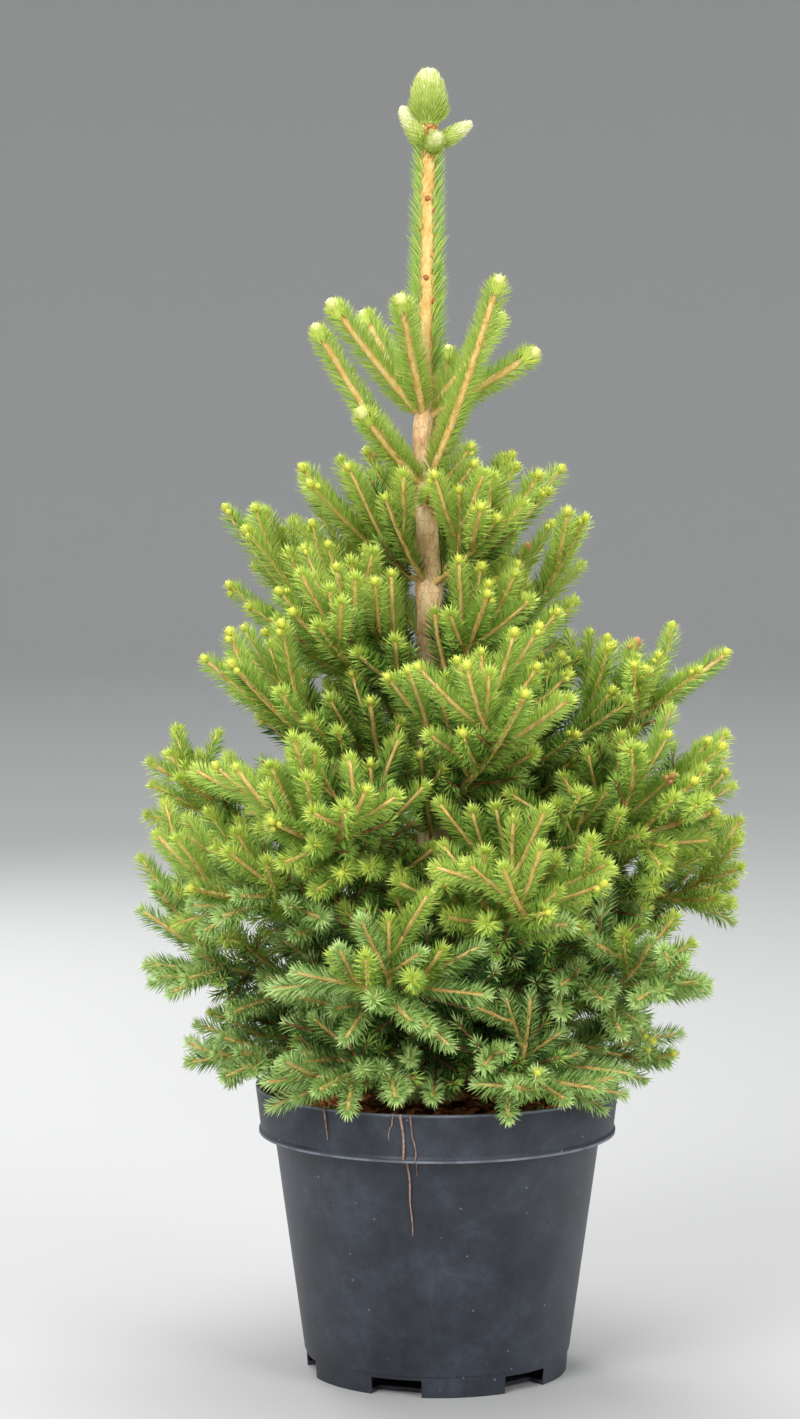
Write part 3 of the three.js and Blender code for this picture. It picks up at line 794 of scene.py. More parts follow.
# Twigs on both sides of a parent curve, each tried shorter before it is skipped.
def growOn(branch, parent, room, start, end, spacing, fork, length, forward, phase):
    curve, grown, rule = parent["curve"], [], fineTwigs
    parentLength = lengthOf(curve)
    count = int(parentLength * (end - start) / spacing)
    lift, longer = rule["habit"][branch["whorl"]["name"]]
    rolling, least = rule["roll"][branch["growth"]], rule[room]["least"][branch["growth"]]
    loose, every = rule["placeJitter"], rule["raisedEvery"]
    for i in range(count):
        t = start + (end - start) * (i + 0.5 + fineRandom.uniform(-loose, loose)) / count
        point, tangent, up, side = frameAt(curve, t)
        hand = 1 if (i + phase) % 2 else -1
        turn = math.radians(fork + fineRandom.uniform(-1, 1) * rule["forkJitter"])
        stand = rule["raised" if i % every == every - 1 else "others"]
        tilt = math.radians(fineRandom.uniform(-1, 1) * rolling + stand)
        sideways = side * hand * math.cos(tilt) + up * math.sin(tilt)
        out = unit(tangent * math.cos(turn) + sideways * math.sin(turn))
        size = length * longer * (rule["lengthFrom"] - rule["lengthFall"] * t)
        size *= fineRandom.uniform(*rule["lengths"])
        size = min(size, parentLength * (rule["restOfParent"] - t) + rule["pastParent"])
        bend = tangent * forward + upwards * lift
        onward, out = unit(out + bend), unit(out + bend * rule["early"])
        for cut in rule["trials"]:
            reach = size * cut
            if reach < least:
                break
            control = point + out * reach / 2
            tip = control + onward * reach / 2
            twig = tryTwig(branch, (point, control, tip), parent["id"], branch["spread"], room)
            if twig:
                grown.append(twig)
                break
    return grown


leafy = [branch for branch in branches if not branch["whorl"].get("single")]
for branch in branches:
    tip = branch["axis"][2]
    branch["twigs"] = []
    branch["growth"] = "rising" if branch["whorl"]["height"] > fineTwigs["risingFrom"] else "spreading"
    branch["spread"] = math.hypot(tip[0], tip[1]) + fineTwigs["pastBranch"]


# A shoot straight from the trunk, kept with the nearest branch of the whorl next to a level.
def growFromTrunk(level, z, azimuth, rise, size):
    nearest = min(leafy, key=lambda branch: abs(branch["whorl"]["height"] - level))["whorl"]
    home = [branch for branch in leafy if branch["whorl"] is nearest]
    near = min(home, key=lambda branch: abs((branch["azimuth"] - azimuth + 180) % 360 - 180))
    centre, radius = trunkAt(z)
    root = centre[0] + heading(azimuth, 0) * radius[0] * fineTwigs["rootDepth"]
    bend = fineTwigs["bendDown" if z < fineTwigs["droopBelow"] else "bendUp"]
    for cut in fineTwigs["trials"]:
        twig = tryTwig(near, shootCurve(root, azimuth, rise, bend, size * cut), -1, math.inf)
        if twig:
            near["twigs"].append(twig)
            return


# Shoots from the trunk: the single ones, then the small ones between the whorls.
def growInternodes():
    look = fineTwigs
    turnEither, heightEither = look["turnEither"], look["heightEither"]
    for z, azimuth, size, rise in look["single"]:
        growFromTrunk(z, z, azimuth, rise, size)
    for level, (height, count, longest, lift) in enumerate(look["internodes"]):
        for k in range(count):
            azimuth = 360 / count * k + look["levelTurn"] * level
            azimuth += fineRandom.uniform(-turnEither, turnEither)
            z = height + fineRandom.uniform(-heightEither, heightEither)
            rise = lift + fineRandom.uniform(-1, 1) * look["internodeRise"]
            size = longest * fineRandom.uniform(*look["internodeSizes"])
            growFromTrunk(height, z, azimuth, rise, size)


# One pass over a branch: on its axis, its side shoots, or the twigs that it has so far.
def growPass(branch, index, room, kind, *rule):
    if kind == "axis":
        parents = [{"curve": branch["axis"], "id": branch["id"]}]
    elif kind == "shoot":
        parents = branch["shoots"]
    else:
        parents = [twig for twig in branch["twigs"] if lengthOf(twig["curve"]) > fineTwigs["parentLength"]]
    return [twig for parent in parents for twig in growOn(branch, parent, room, *rule, index)]


growInternodes()
for index in range(len(fineTwigs["spreading"])):
    for branch in leafy:
        if index not in fineTwigs["skipped"].get(branch["whorl"]["name"], ()):
            branch["twigs"] += growPass(branch, index, *fineTwigs[branch["growth"]][index])
print("finer twigs:", sum(len(branch["twigs"]) for branch in branches))


# ---- twigs, needles and buds from one brush

brushLook = {
    "seed": 7757,
    "ridge": 0.1,  # relief of the leaf cushions, share of the radius
    "pointed": 0.6,  # length of a tube's closed end, share of its radius
    "perMm": 3.4,  # needles along a shoot
    "leastCount": 6,
    # half the width of a needle and its depth, where it is widest, and how far its tip curls up
    "halfWidth": 0.62, "keel": 0.5, "widestAt": 0.46, "curl": 0.04,
    "lean": 46, "leanJitter": 8,  # degrees of the needles from their shoot
    "tipLean": {"bud": 18, "open": 24},  # degrees at the tip
    "tipShare": {"bud": 0.5, "open": 0.72},  # length at the tip, share of the others
    "closing": 0.7,  # power by which they close up
    "turnJitter": 0.25,
    "lift": 0.06,  # how far they turn upwards
    "seat": 0.75,  # share of the shoot's radius where they begin
    "startSize": (0.8, 0.2, 6),  # share at the root, the rest, and how soon it is reached
    "lengths": (0.86, 1.1),
    "youngShares": (0.5, 1.2),  # of the young length
    # at these heights, the share of the way round that is left bare, on the side that faces outwards
    "part": ([300, 420], [0.09, 0.18]),
    "youngLength": 9,  # length of paler needles at a tip, mm
    "faceFront": 0.7,  # how far the bare side turns to the plant's front
    "faceRise": ([300, 520], [0.4, -0.1]),  # at these heights, how far it turns upwards
    "faceJitter": 0.22,
    "faceAt": 0.6,  # share of a shoot where its outward side is taken
}
rosetteLook = {"count": 18, "lean": 4, "spread": 32, "back": 1.5, "lengths": (0.5, 0.72)}
collarLook = {
    # how far below the bud's middle needles begin, shares of its length, and how far out, of its radius
    "below": 0.5, "deeper": 0.55, "round": 0.92, "narrower": 0.3,
    "splay": (0.12, 0.3), "lengths": (0.75, 1.0), "halfWidth": 0.85, "keel": 0.5,
}
front = np.array([0.0, -1.0, 0.0])
needleRandom = np.random.default_rng(brushLook["seed"])


# The side on which a shoot shows its stem, square to its chord.
def faceOf(curve):
    middle = pointsOn(curve, brushLook["faceAt"])[0]
    out = unit((middle - trunkAt(middle[2])[0][0]) * [1, 1, 0])
    face = out + front * brushLook["faceFront"] + upwards * np.interp(middle[2], *brushLook["faceRise"])
    face = face + needleRandom.normal(0, brushLook["faceJitter"], 3)
    chord = unit(curve[2] - curve[0])
    return unit(face - chord * face.dot(chord))


# Points and tangents of a curve at many t, with the directions square to it towards a face and across.
def framesOn(curve, t, face):
    points, tangents = pointsOn(curve, t), tangentsOn(curve, t)
    faces = units(face - tangents * (tangents @ face)[:, None])
    return points, tangents, faces, np.cross(tangents, faces)


# A closed tube through frames, with a lozenge relief.
def addTube(heap, frames, radii, kind, sides, ridge=0.0):
    points, tangents, faces, across = frames
    rings = len(points)
    turns = 2 * np.pi * np.arange(sides) / sides
    relief = 1 + ridge * ((np.arange(rings)[:, None] + np.arange(sides)[None]) % 2 * 2 - 1)
    circle = faces[:, None] * np.cos(turns)[None, :, None] + across[:, None] * np.sin(turns)[None, :, None]
    shell = (points[:, None] + circle * (radii[:, None] * relief)[:, :, None]).reshape(-1, 3)
    ends = np.array([points[0], points[-1] + tangents[-1] * radii[-1] * brushLook["pointed"]])
    i, j = np.meshgrid(np.arange(rings - 1), np.arange(sides), indexing="ij")
    a, b = i * sides + j, i * sides + (j + 1) % sides
    c, d = a + sides, b + sides
    wall = np.concatenate([np.stack([a, b, d], 2).reshape(-1, 3), np.stack([a, d, c], 2).reshape(-1, 3)])
    j = np.arange(sides)
    foot, top, last = rings * sides, rings * sides + 1, (rings - 1) * sides
    caps = np.concatenate([
        np.stack([np.full(sides, foot), (j + 1) % sides, j], 1),
        np.stack([np.full(sides, top), last + j, last + (j + 1) % sides], 1),
    ])
    heap.add(np.concatenate([shell, ends]), np.concatenate([wall, caps]), kind)


# A tapering twig along a curve, from a share of it on.
def addTwig(heap, curve, start, radii, kind, face, sides, ring):
    rings = max(3, int(lengthOf(curve) * (1 - start) / ring) + 1)
    share = np.linspace(0, 1, rings)
    frames = framesOn(curve, start + (1 - start) * share, face)
    addTube(heap, frames, radii[0] + (radii[1] - radii[0]) * share, kind, sides, brushLook["ridge"])


needleFaces = np.array([[0, 2, 1], [0, 1, 3], [0, 3, 2], [1, 2, 3]])


# Slim four-faced needles, each from its base along a direction.
def addNeedles(heap, base, direction, outward, length, kinds,
               halfWidth=brushLook["halfWidth"], keel=brushLook["keel"]):
    width = units(np.cross(direction, outward))
    back = np.cross(width, direction)
    middle = base + direction * (length * brushLook["widestAt"])[:, None] - back * keel
    tips = base + direction * length[:, None] + back * (length * brushLook["curl"])[:, None]
    points = np.stack([base, tips, middle + width * halfWidth, middle - width * halfWidth], 1)
    a, b, c, d = (points[:, k] for k in range(4))
    handed = np.einsum("ij,ij->i", np.cross(b - a, c - a), d - a) > 0
    faces = np.where(handed[:, None, None], needleFaces[None], needleFaces[None, :, ::-1])
    faces = faces + 4 * np.arange(len(points))[:, None, None]
    heap.add(points.reshape(-1, 3), faces.reshape(-1, 3), np.repeat(kinds, 4))


# Two directions square to an axis and to each other.
def squareTo(axis, hint=(0.3, 0.9, 0.2)):
    side = unit(np.cross(axis, hint))
    return side, np.cross(axis, side)


# Directions round an axis in a spiral.
def spiralOf(side, third, count):
    turn = np.arange(count) * goldenTurn
    return side * np.cos(turn)[:, None] + third * np.sin(turn)[:, None]


# One of the named materials for each of many small shapes, as the heap numbers them.
def dealt(heap, names, count):
    numbers = np.array([heap.names.index(name) for name in names])
    return numbers[needleRandom.integers(0, len(numbers), count)]


# Needles in a spiral round a shoot. They close up round its bud, or open into a rosette at its tip.
def addBrush(heap, curve, face, start, radii, needle, shades, tipShades, perMm, budded,
             lean=brushLook["lean"], part=None, taper=0.0):
    look, end = brushLook, "bud" if budded else "open"
    length = lengthOf(curve)
    part = np.interp(curve[2][2], *look["part"]) if part is None else part
    count = max(look["leastCount"], int(length * (1 - start) * perMm))
    loose, leanLoose = look["turnJitter"], look["leanJitter"]
    order = (np.arange(count) + needleRandom.uniform(0, 1, count)) / count
    t = start + (1 - start) * order
    points, tangents, faces, across = framesOn(curve, t, face)
    spiral = np.arange(count) * goldenTurn + needleRandom.uniform(-loose, loose, count) + np.pi
    turn = (spiral % (2 * np.pi) - np.pi) * (1 - part)
    outward = across * np.sin(turn)[:, None] - faces * np.cos(turn)[:, None]
    toTip = (1 - t) * length
    closing = np.clip(toTip / look["youngLength"], 0, 1)
    tipLean, tipShare = look["tipLean"][end], look["tipShare"][end]
    leans = tipLean + (lean - tipLean) * closing ** look["closing"]
    angle = np.radians(leans + needleRandom.uniform(-leanLoose, leanLoose, count))
    direction = tangents * np.cos(angle)[:, None] + outward * np.sin(angle)[:, None]
    direction = units(direction + upwards * look["lift"])
    base = points + outward * ((radii[0] + (radii[1] - radii[0]) * t) * look["seat"])[:, None]
    first, rest, soon = look["startSize"]
    size = needle * (tipShare + (1 - tipShare) * closing) * (first + rest * np.clip(order * soon, 0, 1))
    size = size * (1 - taper * t) * needleRandom.uniform(*look["lengths"], count)
    young = toTip < look["youngLength"] * needleRandom.uniform(*look["youngShares"], count)
    kinds = np.where(young, dealt(heap, tipShades, count), dealt(heap, shades, count))
    addNeedles(heap, base, direction, outward, size, kinds)


# The last needles of a shoot with no open bud, spread like a star.
def addRosette(heap, curve, needle, shades):
    look, count = rosetteLook, rosetteLook["count"]
    tangent = tangentsOn(curve, 1)[0]
    outward = spiralOf(*squareTo(tangent), count)
    angle = np.radians(look["lean"] + look["spread"] * (np.arange(count) + 0.5) / count)
    direction = tangent * np.cos(angle)[:, None] + outward * np.sin(angle)[:, None]
    base = np.tile(curve[2], (count, 1)) - tangent * look["back"]
    size = needle * needleRandom.uniform(*look["lengths"], count)
    addNeedles(heap, base, direction, outward, size, dealt(heap, shades, count))


# Short needles laid close round a swollen bud, up to its middle.
def addCollar(heap, place, axis, radius, length, count, shades):
    look = collarLook
    outward = spiralOf(*squareTo(axis), count)
    low = needleRandom.uniform(0, 1, count)
    below = length * (look["below"] + look["deeper"] * low)
    out = radius * (look["round"] - look["narrower"] * low)
    base = place - axis * below[:, None] + outward * out[:, None]
    direction = units(axis + outward * needleRandom.uniform(*look["splay"], count)[:, None])
    size = length * needleRandom.uniform(*look["lengths"], count)
    addNeedles(heap, base, direction, outward, size, dealt(heap, shades, count), look["halfWidth"],
               look["keel"])


def budShape(fineness):
    return shapeOf(lambda bm: bmesh.ops.create_icosphere(bm, subdivisions=fineness, radius=1))


budBall, budSmall = budShape(2), budShape(1)


# A round bud, its own length along a direction.
def addBud(heap, place, direction, width, length, kind, ball=budBall):
    axis = unit(direction)
    side, third = squareTo(axis)
    points, faces = ball
    local = points * [width / 2, width / 2, length / 2]
    heap.add(place + local @ np.array([side, third, axis]), faces, kind)


# ---- the crown's twigs, needles and buds

# painted light and shade: top and sun are lit palettes, leaf and mid lie between, and the darkest are shaded
# palettes for sprays inside the crown
palettes = {
    "leader": ["needleLeaf", "needleLow", "needleMid", "needleSun"],
    "top": ["needleTop", "needleSun", "needleLeaf", "needleLeaf", "needleTop"],
    "sun": ["needleSun", "needleLeaf", "needleLeaf", "needleMid"],
    "leaf": ["needleLeaf", "needleMid", "needleLeaf", "needleMid"],
    "mid": ["needleMid", "needleMid", "needleShaded", "needleLeaf"],
    "paintedShade": ["needleShaded", "needleMid", "needleMid"],
    "low": ["needleLow", "needleLow", "needleLowShaded", "needlePale"],
    "lowPaintedShade": ["needleLowShaded", "needleShaded", "needleShaded"],
}
tipPalettes = {
    "upper": ["needleTip", "needleTip", "needleSun"],
    "crown": ["needleTip", "needleSun", "needleSun"],
    "low": ["needlePale", "needlePale", "needleLow"],
    # painted shade: the tips of shaded sprays
    "paintedShade": ["needleMid", "needleLeaf"],
}
crownLook = {
    "innerPerMm": 2.0,  # needles along a shaded shoot
    "budShare": 0.75,  # of the outer rising shoots of some length, and of the others
    "lowBudShare": 0.012,
    "budsFrom": 420,  # height and length at which they start to carry open buds
    "budLength": 48,
    "risingAt": 0.4,  # upward share of a tip's direction
    "budColours": ["budYellow", "budYellow", "budYellow"],
    "pinkColours": ["budPink", "budPink", "budYellow"],
    "pinkShare": 0.04,
    "budWidths": (5.2, 7.2),
    "budStretch": 1.15,  # length over width
    "budAhead": 0.2,  # share of its width that a bud stands past the tip
    "sideBuds": 0.45,  # of the budded shoots have one or two smaller buds below the last
    "sideBud": {"behind": 0.45, "beside": 0.62, "size": 0.74},  # shares of the last one's width
    "lowBelow": 330,  # height under which needles are paler and bluer, and its spread either way
    "lowSpread": 45,
    # a tip's share of the crown's reach, by which its palette goes
    "reachJitter": 0.12, "lowOuter": 0.66, "sunOuter": 0.78, "leafOuter": 0.62,
    # needles over the whorl's own, and their length on short twigs: a least one and a share of the twig
    "needleOver": 1.04, "shortNeedle": 7.6, "shortGain": 0.13,
    "brushFrom": 0.12, "shortFrom": 0.05, "shortBelow": 40,  # where needles begin, also on short twigs
    "outerSides": 5, "innerSides": 4, "twigRing": 11.0,
    # at these heights, share of the crown's reach that is shaded
    "inside": ([320, 370, 440, 520], [0.58, 0.44, 0.42, 0.2]),
    "shootRadii": (2.2, 1.4),
    "twigRadii": (1.75, 1.15),
    "innerRadii": (1.4, 0.8),
    "sunFrom": 550,
}
# the stout single shoots of the top whorls
singleLook = {
    "radii": (3.1, 2.4), "needle": 14.2, "perMm": 5.8, "from": 0.08, "lean": 50, "part": 0.16, "taper": 0.1,
    "faceJitter": 0.2, "sides": 10, "ring": 3.0,
    "budWidths": (8.8, 10.4), "budStretch": 1.35, "budBehind": 0.1,
    "collarOver": 0.6, "collarLength": 1.1, "collarNeedles": 60, "collarShades": ["needleTip", "needleSun"],
}
# a branch's own axis: last year's shoot at its end, and the older needles from near the trunk on
axisLook = {
    "radii": (0.64, 0.4), "intoBough": 0.02, "sides": 8, "ring": 4.0,
    "upperFrom": 500, "from": {"upper": 0.34, "lower": 0.5}, "perMm": 1.15,
    "oldStart": 0.16, "oldNeedle": 0.8, "oldPerMm": 0.6,
}
lowWhorls = ("low", "skirt")
woodNames = ["twigBark", "boughBark", "shootBark"]
woodHeap = Heap(woodNames)
budHeap = Heap(list(budPalette))
needleHeaps = {whorl["name"]: Heap(list(needlePalette)) for whorl in whorls}


# Painted light and shade: sprays outside and on top get paler, yellower lit greens, and those within get
# darker shaded ones.
def paletteFor(curve, inner):
    tip, look = curve[2], crownLook
    loose = look["reachJitter"]
    outside = math.hypot(tip[0], tip[1]) / crownReach(tip) + fineRandom.uniform(-loose, loose)
    low = tip[2] < look["lowBelow"] + fineRandom.uniform(-1, 1) * look["lowSpread"]
    if inner or outside < np.interp(tip[2], *look["inside"]):
        return ("lowPaintedShade", "paintedShade") if low else ("paintedShade", "paintedShade")
    if low:
        return ("low", "low") if outside > look["lowOuter"] else ("lowPaintedShade", "low")
    if tip[2] > look["sunFrom"]:
        return "top", "crown"
    if outside > look["sunOuter"]:
        return "sun", "crown"
    return ("leaf", "crown") if outside > look["leafOuter"] else ("mid", "crown")


# A bud at a shoot's tip, and sometimes one or two smaller ones beside it.
def addBuds(curve):
    look, small = crownLook, crownLook["sideBud"]
    tangent = tangentsOn(curve, 1)[0]
    pink = fineRandom.uniform() < look["pinkShare"]
    colours = look["pinkColours" if pink else "budColours"]
    width = fineRandom.uniform(*look["budWidths"])
    spots = [(curve[2] + tangent * width * look["budAhead"], width)]
    if fineRandom.uniform() < look["sideBuds"]:
        for _ in range(fineRandom.integers(1, 3)):
            side = unit(np.cross(tangent, fineRandom.normal(0, 1, 3)))
            spot = curve[2] - tangent * width * small["behind"] + side * width * small["beside"]
            spots.append((spot, width * small["size"]))
    for place, size in spots:
        kind = colours[fineRandom.integers(len(colours))]
        addBud(budHeap, place, tangent, size, size * look["budStretch"], kind, budSmall)


# A side shoot or twig. Those in the shade are slimmer, have fewer needles and are painted in shaded greens.
def dressShoot(branch, curve, radii, inner=False):
    look, whorl = crownLook, branch["whorl"]
    size = lengthOf(curve)
    needle = min(whorl["needle"] * look["needleOver"], look["shortNeedle"] + size * look["shortGain"])
    shades, tips = paletteFor(curve, inner)
    outer = shades not in ("paintedShade", "lowPaintedShade")
    long = curve[2][2] > look["budsFrom"] and size > look["budLength"]
    rising = tangentsOn(curve, 1)[0][2] > look["risingAt"] and long
    budded = outer and fineRandom.uniform() < look["budShare" if rising else "lowBudShare"]
    face, heap = faceOf(curve), needleHeaps[whorl["name"]]
    wood = (radii, "twigBark", face, look["outerSides"])
    if not outer:
        wood = (look["innerRadii"], "boughBark", face, look["innerSides"])
    addTwig(woodHeap, curve, 0, *wood, look["twigRing"])
    start = look["brushFrom" if size > look["shortBelow"] else "shortFrom"]
    addBrush(heap, curve, face, start, radii, needle, palettes[shades], tipPalettes[tips],
             brushLook["perMm"] if outer else look["innerPerMm"], budded)
    if budded:
        addBuds(curve)
    elif outer:
        addRosette(heap, curve, needle, tipPalettes[tips])


# The top whorls' stout single shoots, each under a swollen bud in a collar of needles.
def dressSingle(branch):
    look, curve, heap = singleLook, branch["axis"], needleHeaps[branch["whorl"]["name"]]
    face = unit(front + needleRandom.normal(0, look["faceJitter"], 3))
    tangent = tangentsOn(curve, 1)[0]
    addTwig(woodHeap, curve, 0, look["radii"], "shootBark", face, look["sides"], look["ring"])
    addBrush(heap, curve, face, look["from"], look["radii"], look["needle"], palettes["top"],
             tipPalettes["upper"], look["perMm"], True, look["lean"], look["part"], look["taper"])
    width = fineRandom.uniform(*look["budWidths"])
    addBud(budHeap, curve[2] - tangent * width * look["budBehind"], tangent, width,
           width * look["budStretch"], "budCream")
    addCollar(heap, curve[2] - tangent, tangent, width / 2 + look["collarOver"], width * look["collarLength"],
              look["collarNeedles"], look["collarShades"])


# A branch's own axis: old needles near the trunk, and last year's shoot at the end.
def dressAxis(branch):
    look, whorl, curve = axisLook, branch["whorl"], branch["axis"]
    heap, needle = needleHeaps[whorl["name"]], whorl["needle"]
    upper, low = whorl["height"] > look["upperFrom"], whorl["name"] in lowWhorls
    radii = tuple(whorl["stem"] * share for share in look["radii"])
    face, start = faceOf(curve), max(whorl.get("bough", 0) - look["intoBough"], 0)
    addTwig(woodHeap, curve, start, radii, "twigBark", face, look["sides"], look["ring"])
    shades, tips = ("top", "upper") if upper else ("low", "low") if low else ("leaf", "crown")
    budded = not low
    addBrush(heap, curve, face, look["from"]["upper" if upper else "lower"], radii,
             needle * crownLook["needleOver"], palettes[shades], tipPalettes[tips],
             brushLook["perMm"] * look["perMm"], budded)
    # the old needles near the trunk take the shaded greens: their own darker green together with painted
    # shade
    addBrush(heap, curve, face, look["oldStart"], radii, needle * look["oldNeedle"], palettes["paintedShade"],
             tipPalettes["paintedShade"], crownLook["innerPerMm"] * look["oldPerMm"], budded)
    if budded:
        addBuds(curve)
    else:
        addRosette(heap, curve, needle, tipPalettes[tips])


for branch in branches:
    if branch["whorl"].get("single"):
        dressSingle(branch)
        continue
    dressAxis(branch)
    for shoot in branch["shoots"]:
        dressShoot(branch, shoot["curve"], crownLook["shootRadii"])
    for twig in branch["twigs"]:
        dressShoot(branch, twig["curve"], crownLook["twigRadii"], twig["inner"])


def nodesOf(whorlName):
    return [f"foliage_{branch['name']}" for branch in branches if branch["whorl"]["name"] == whorlName]


allMasses = [f"foliage_{branch['name']}" for branch in branches]
for whorl in whorls:
    slot = "low_needles" if whorl["name"] in lowWhorls else "needles"
    needleHeaps[whorl["name"]].build(f"needles_{whorl['name']}", slot, nodesOf(whorl["name"]))
woodHeap.build("twigs", "bough_bark", allMasses, smooth=True)
budHeap.build("buds", "new_growth", allMasses, smooth=True)
print("crown grown")


# ---- trunk and boughs with the bark's relief

barkRelief = {
    "trunkSegments": 56, "trunkRing": 2.4, "boughSegments": 18, "boughRing": 2.2,
    "trunkTop": 690,  # height where the leader takes over
    "plates": 1.5, "fine": 0.35, "collar": 1.1, "flare": 2.4, "lobes": 5, "inset": 0.9,
    # stretch along the trunk, size of the flakes and of the furrows, and the deepest seam
    "stretch": 0.45, "plateSize": 0.22, "fineSize": 0.5, "seam": 0.5,
    "collarDrop": 3, "collarHeight": 7, "flareFoot": 188, "flareHeight": 14, "flareTurn": 0.7,
    "furrows": (0.8, 2.1, 4),  # roughness, finer by, octaves
    "boughSize": 0.4, "boughDepth": 0.5, "ribs": 7, "ribTwist": 0.4, "ribDepth": 0.15,
}


# A limb from a circle that is extruded ring by ring, its relief pushed along the ring.
def limbMesh(name, centres, tangents, radii, segments, reliefAt):
    bm = bmesh.new()
    bmesh.ops.create_circle(bm, cap_ends=False, segments=segments, radius=1)
    edges, verts = bm.edges[:], bm.verts[:]
    rings = [verts]
    for _ in centres[1:]:
        made = bmesh.ops.extrude_edge_only(bm, edges=edges)["geom"]
        verts = [part for part in made if isinstance(part, bmesh.types.BMVert)]
        inRing = set(verts)
        edges = [part for part in made if isinstance(part, bmesh.types.BMEdge) and set(part.verts) <= inRing]
        rings.append(verts)
    for ring, centre, tangent, radius in zip(rings, centres, tangents, radii):
        turn = Vector((0, 0, 1)).rotation_difference(Vector(tangent)).to_matrix()
        for vert in ring:
            angle = math.atan2(vert.co.y, vert.co.x)
            out = turn @ Vector((math.cos(angle), math.sin(angle), 0))
            spot = Vector(centre) + out * radius
            vert.co = (spot + out * reliefAt(spot, angle)) * mm
    bmesh.ops.contextual_create(bm, geom=rings[0])
    bmesh.ops.contextual_create(bm, geom=rings[-1])
    bmesh.ops.recalc_face_normals(bm, faces=bm.faces)
    return smoothMesh(name, bm)


# Flakes, fine furrows, branch collars and a lobed root flare, in mm.
def trunkRelief(spot, angle):
    look = barkRelief
    stretched = Vector((spot.x, spot.y, spot.z * look["stretch"]))
    flakes = noise.voronoi(stretched * look["plateSize"])[0]
    plates = min(flakes[1] - flakes[0], look["seam"]) * look["plates"]
    fine = noise.fractal(stretched * look["fineSize"], *look["furrows"]) * look["fine"]
    rises = [(spot.z - whorl["height"] + look["collarDrop"]) / look["collarHeight"] for whorl in whorls]
    collar = sum(math.exp(-rise ** 2) for rise in rises) * look["collar"]
    foot = math.exp(-(spot.z - look["flareFoot"]) / look["flareHeight"])
    flare = foot * look["flare"] * math.cos(look["lobes"] * angle + look["flareTurn"])
    return plates + fine + collar + flare - look["inset"]


def boughRelief(spot, angle):
    look = barkRelief
    ribs = math.cos(angle * look["ribs"] + spot.length * look["ribTwist"]) * look["ribDepth"]
    return noise.fractal(spot * look["boughSize"], *look["furrows"]) * look["boughDepth"] + ribs


def layBark():
    heights = np.arange(trunkStations[0, 0], barkRelief["trunkTop"], barkRelief["trunkRing"])
    centres, radii = trunkAt(heights)
    mesh = limbMesh("trunk_bark", centres, np.tile(upwards, (len(centres), 1)), radii,
                    barkRelief["trunkSegments"], trunkRelief)
    finishPiece("trunk_bark", mesh, ["trunk"], ["trunkBark"])
    for branch in branches:
        bough, stem = branch["whorl"].get("bough"), branch["whorl"]["stem"]
        if not bough:
            continue
        t = np.linspace(0, bough, int(lengthOf(branch["axis"]) * bough / barkRelief["boughRing"]))
        radii = stem * (growth["boughTaper"] + (1 - growth["boughTaper"]) * t / bough)
        name = f"bough_{branch['name']}"
        mesh = limbMesh(f"{name}_bark", pointsOn(branch["axis"], t), tangentsOn(branch["axis"], t), radii,
                        barkRelief["boughSegments"], boughRelief)
        finishPiece(f"{name}_bark", mesh, [name], ["boughBark"])


layBark()
print("bark laid on")


# ---- leader: last year's shoot with its needles and side buds, and the new flush

leaderLook = {
    "from": 684, "pastTop": 4, "radii": (6.4, 5.8), "sides": 14, "ring": 3.4,
    "needle": 20, "needlesFrom": 0.04, "perMm": 6.4, "lean": 38, "part": 0.19, "taper": 0.36,
    # height and azimuth of each small bud
    "sideBuds": [
        (704, 244), (726, 212), (741, 318), (757, 262), (772, 305), (790, 206), (803, 322), (811, 268),
        (760, 90), (786, 130), (812, 60), (734, 40),
    ],
    "budSize": (4.4, 6.0), "budRise": 35, "budOut": 7.2,
}
flushLook = {
    "foot": 846.35, "length": 60, "eggFrom": 0.33, "eggTo": 0.97, "eggRadius": 12.4, "widest": 0.3,
    "blunt": 2.4, "neck": 0.66, "blades": 620, "blade": 9.4, "bladesTo": 0.9, "bladeWidth": 0.85,
    # azimuth, reach, rise and radius of each side bud, and how far along it the young needles begin
    "buds": [(182, 19, 32, 7.0, 0.08), (4, 30, 21, 5.2, 0.24), (296, 16, 12, 6.9, 0.1)],
    "budBlades": 230, "budBlade": 6.6,
    "palerFrom": 0.38, "budPalerFrom": 0.24,  # share of the length from which blades are paler
    "paleSteps": (-0.2, 0.1, 0.4), "paleJitter": 0.24,
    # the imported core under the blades
    "rings": 18, "ringCrowding": 1.5, "coreShare": 0.88, "coreSides": 24, "leastRadius": 0.4,
    # how the blades stand: along the bud's slope, and away from it by less towards the top
    "slopeStep": 0.05, "steepest": -0.9, "splay": 0.2, "splayBelow": 0.42, "splayJitter": (-0.12, 0.16),
    "seat": 0.84, "bladeFall": 0.5, "bladeLengths": (0.8, 1.15), "keel": 0.4,
    "neckRadii": (4.8, 6.2), "neckSides": 12, "neckRing": 2.2, "neckInto": 4,
    "sideRadii": (3.2, 2.8), "sideSides": 8, "sideInto": 0.1,
    # brown bud scales round the neck and round the foot of the side buds: count, from, to, radius, size
    "scales": [(54, 9, 18, 6.4, 3.4), (40, -5, 6, 6.0, 4.0)],
    "scaleRise": 18, "scaleLift": 1.2, "scaleWidth": 0.7,
}


# Radius of a bud whose needles are still packed: drawn in at the neck and blunt at the top.
def eggRadius(share, full):
    widest = flushLook["widest"]
    above = np.clip((share - widest) / (1 - widest), 0, 1)
    below = np.clip((widest - share) / widest, 0, 1)
    return full * np.sqrt(1 - above ** flushLook["blunt"]) * (1 - (1 - flushLook["neck"]) * below ** 2)


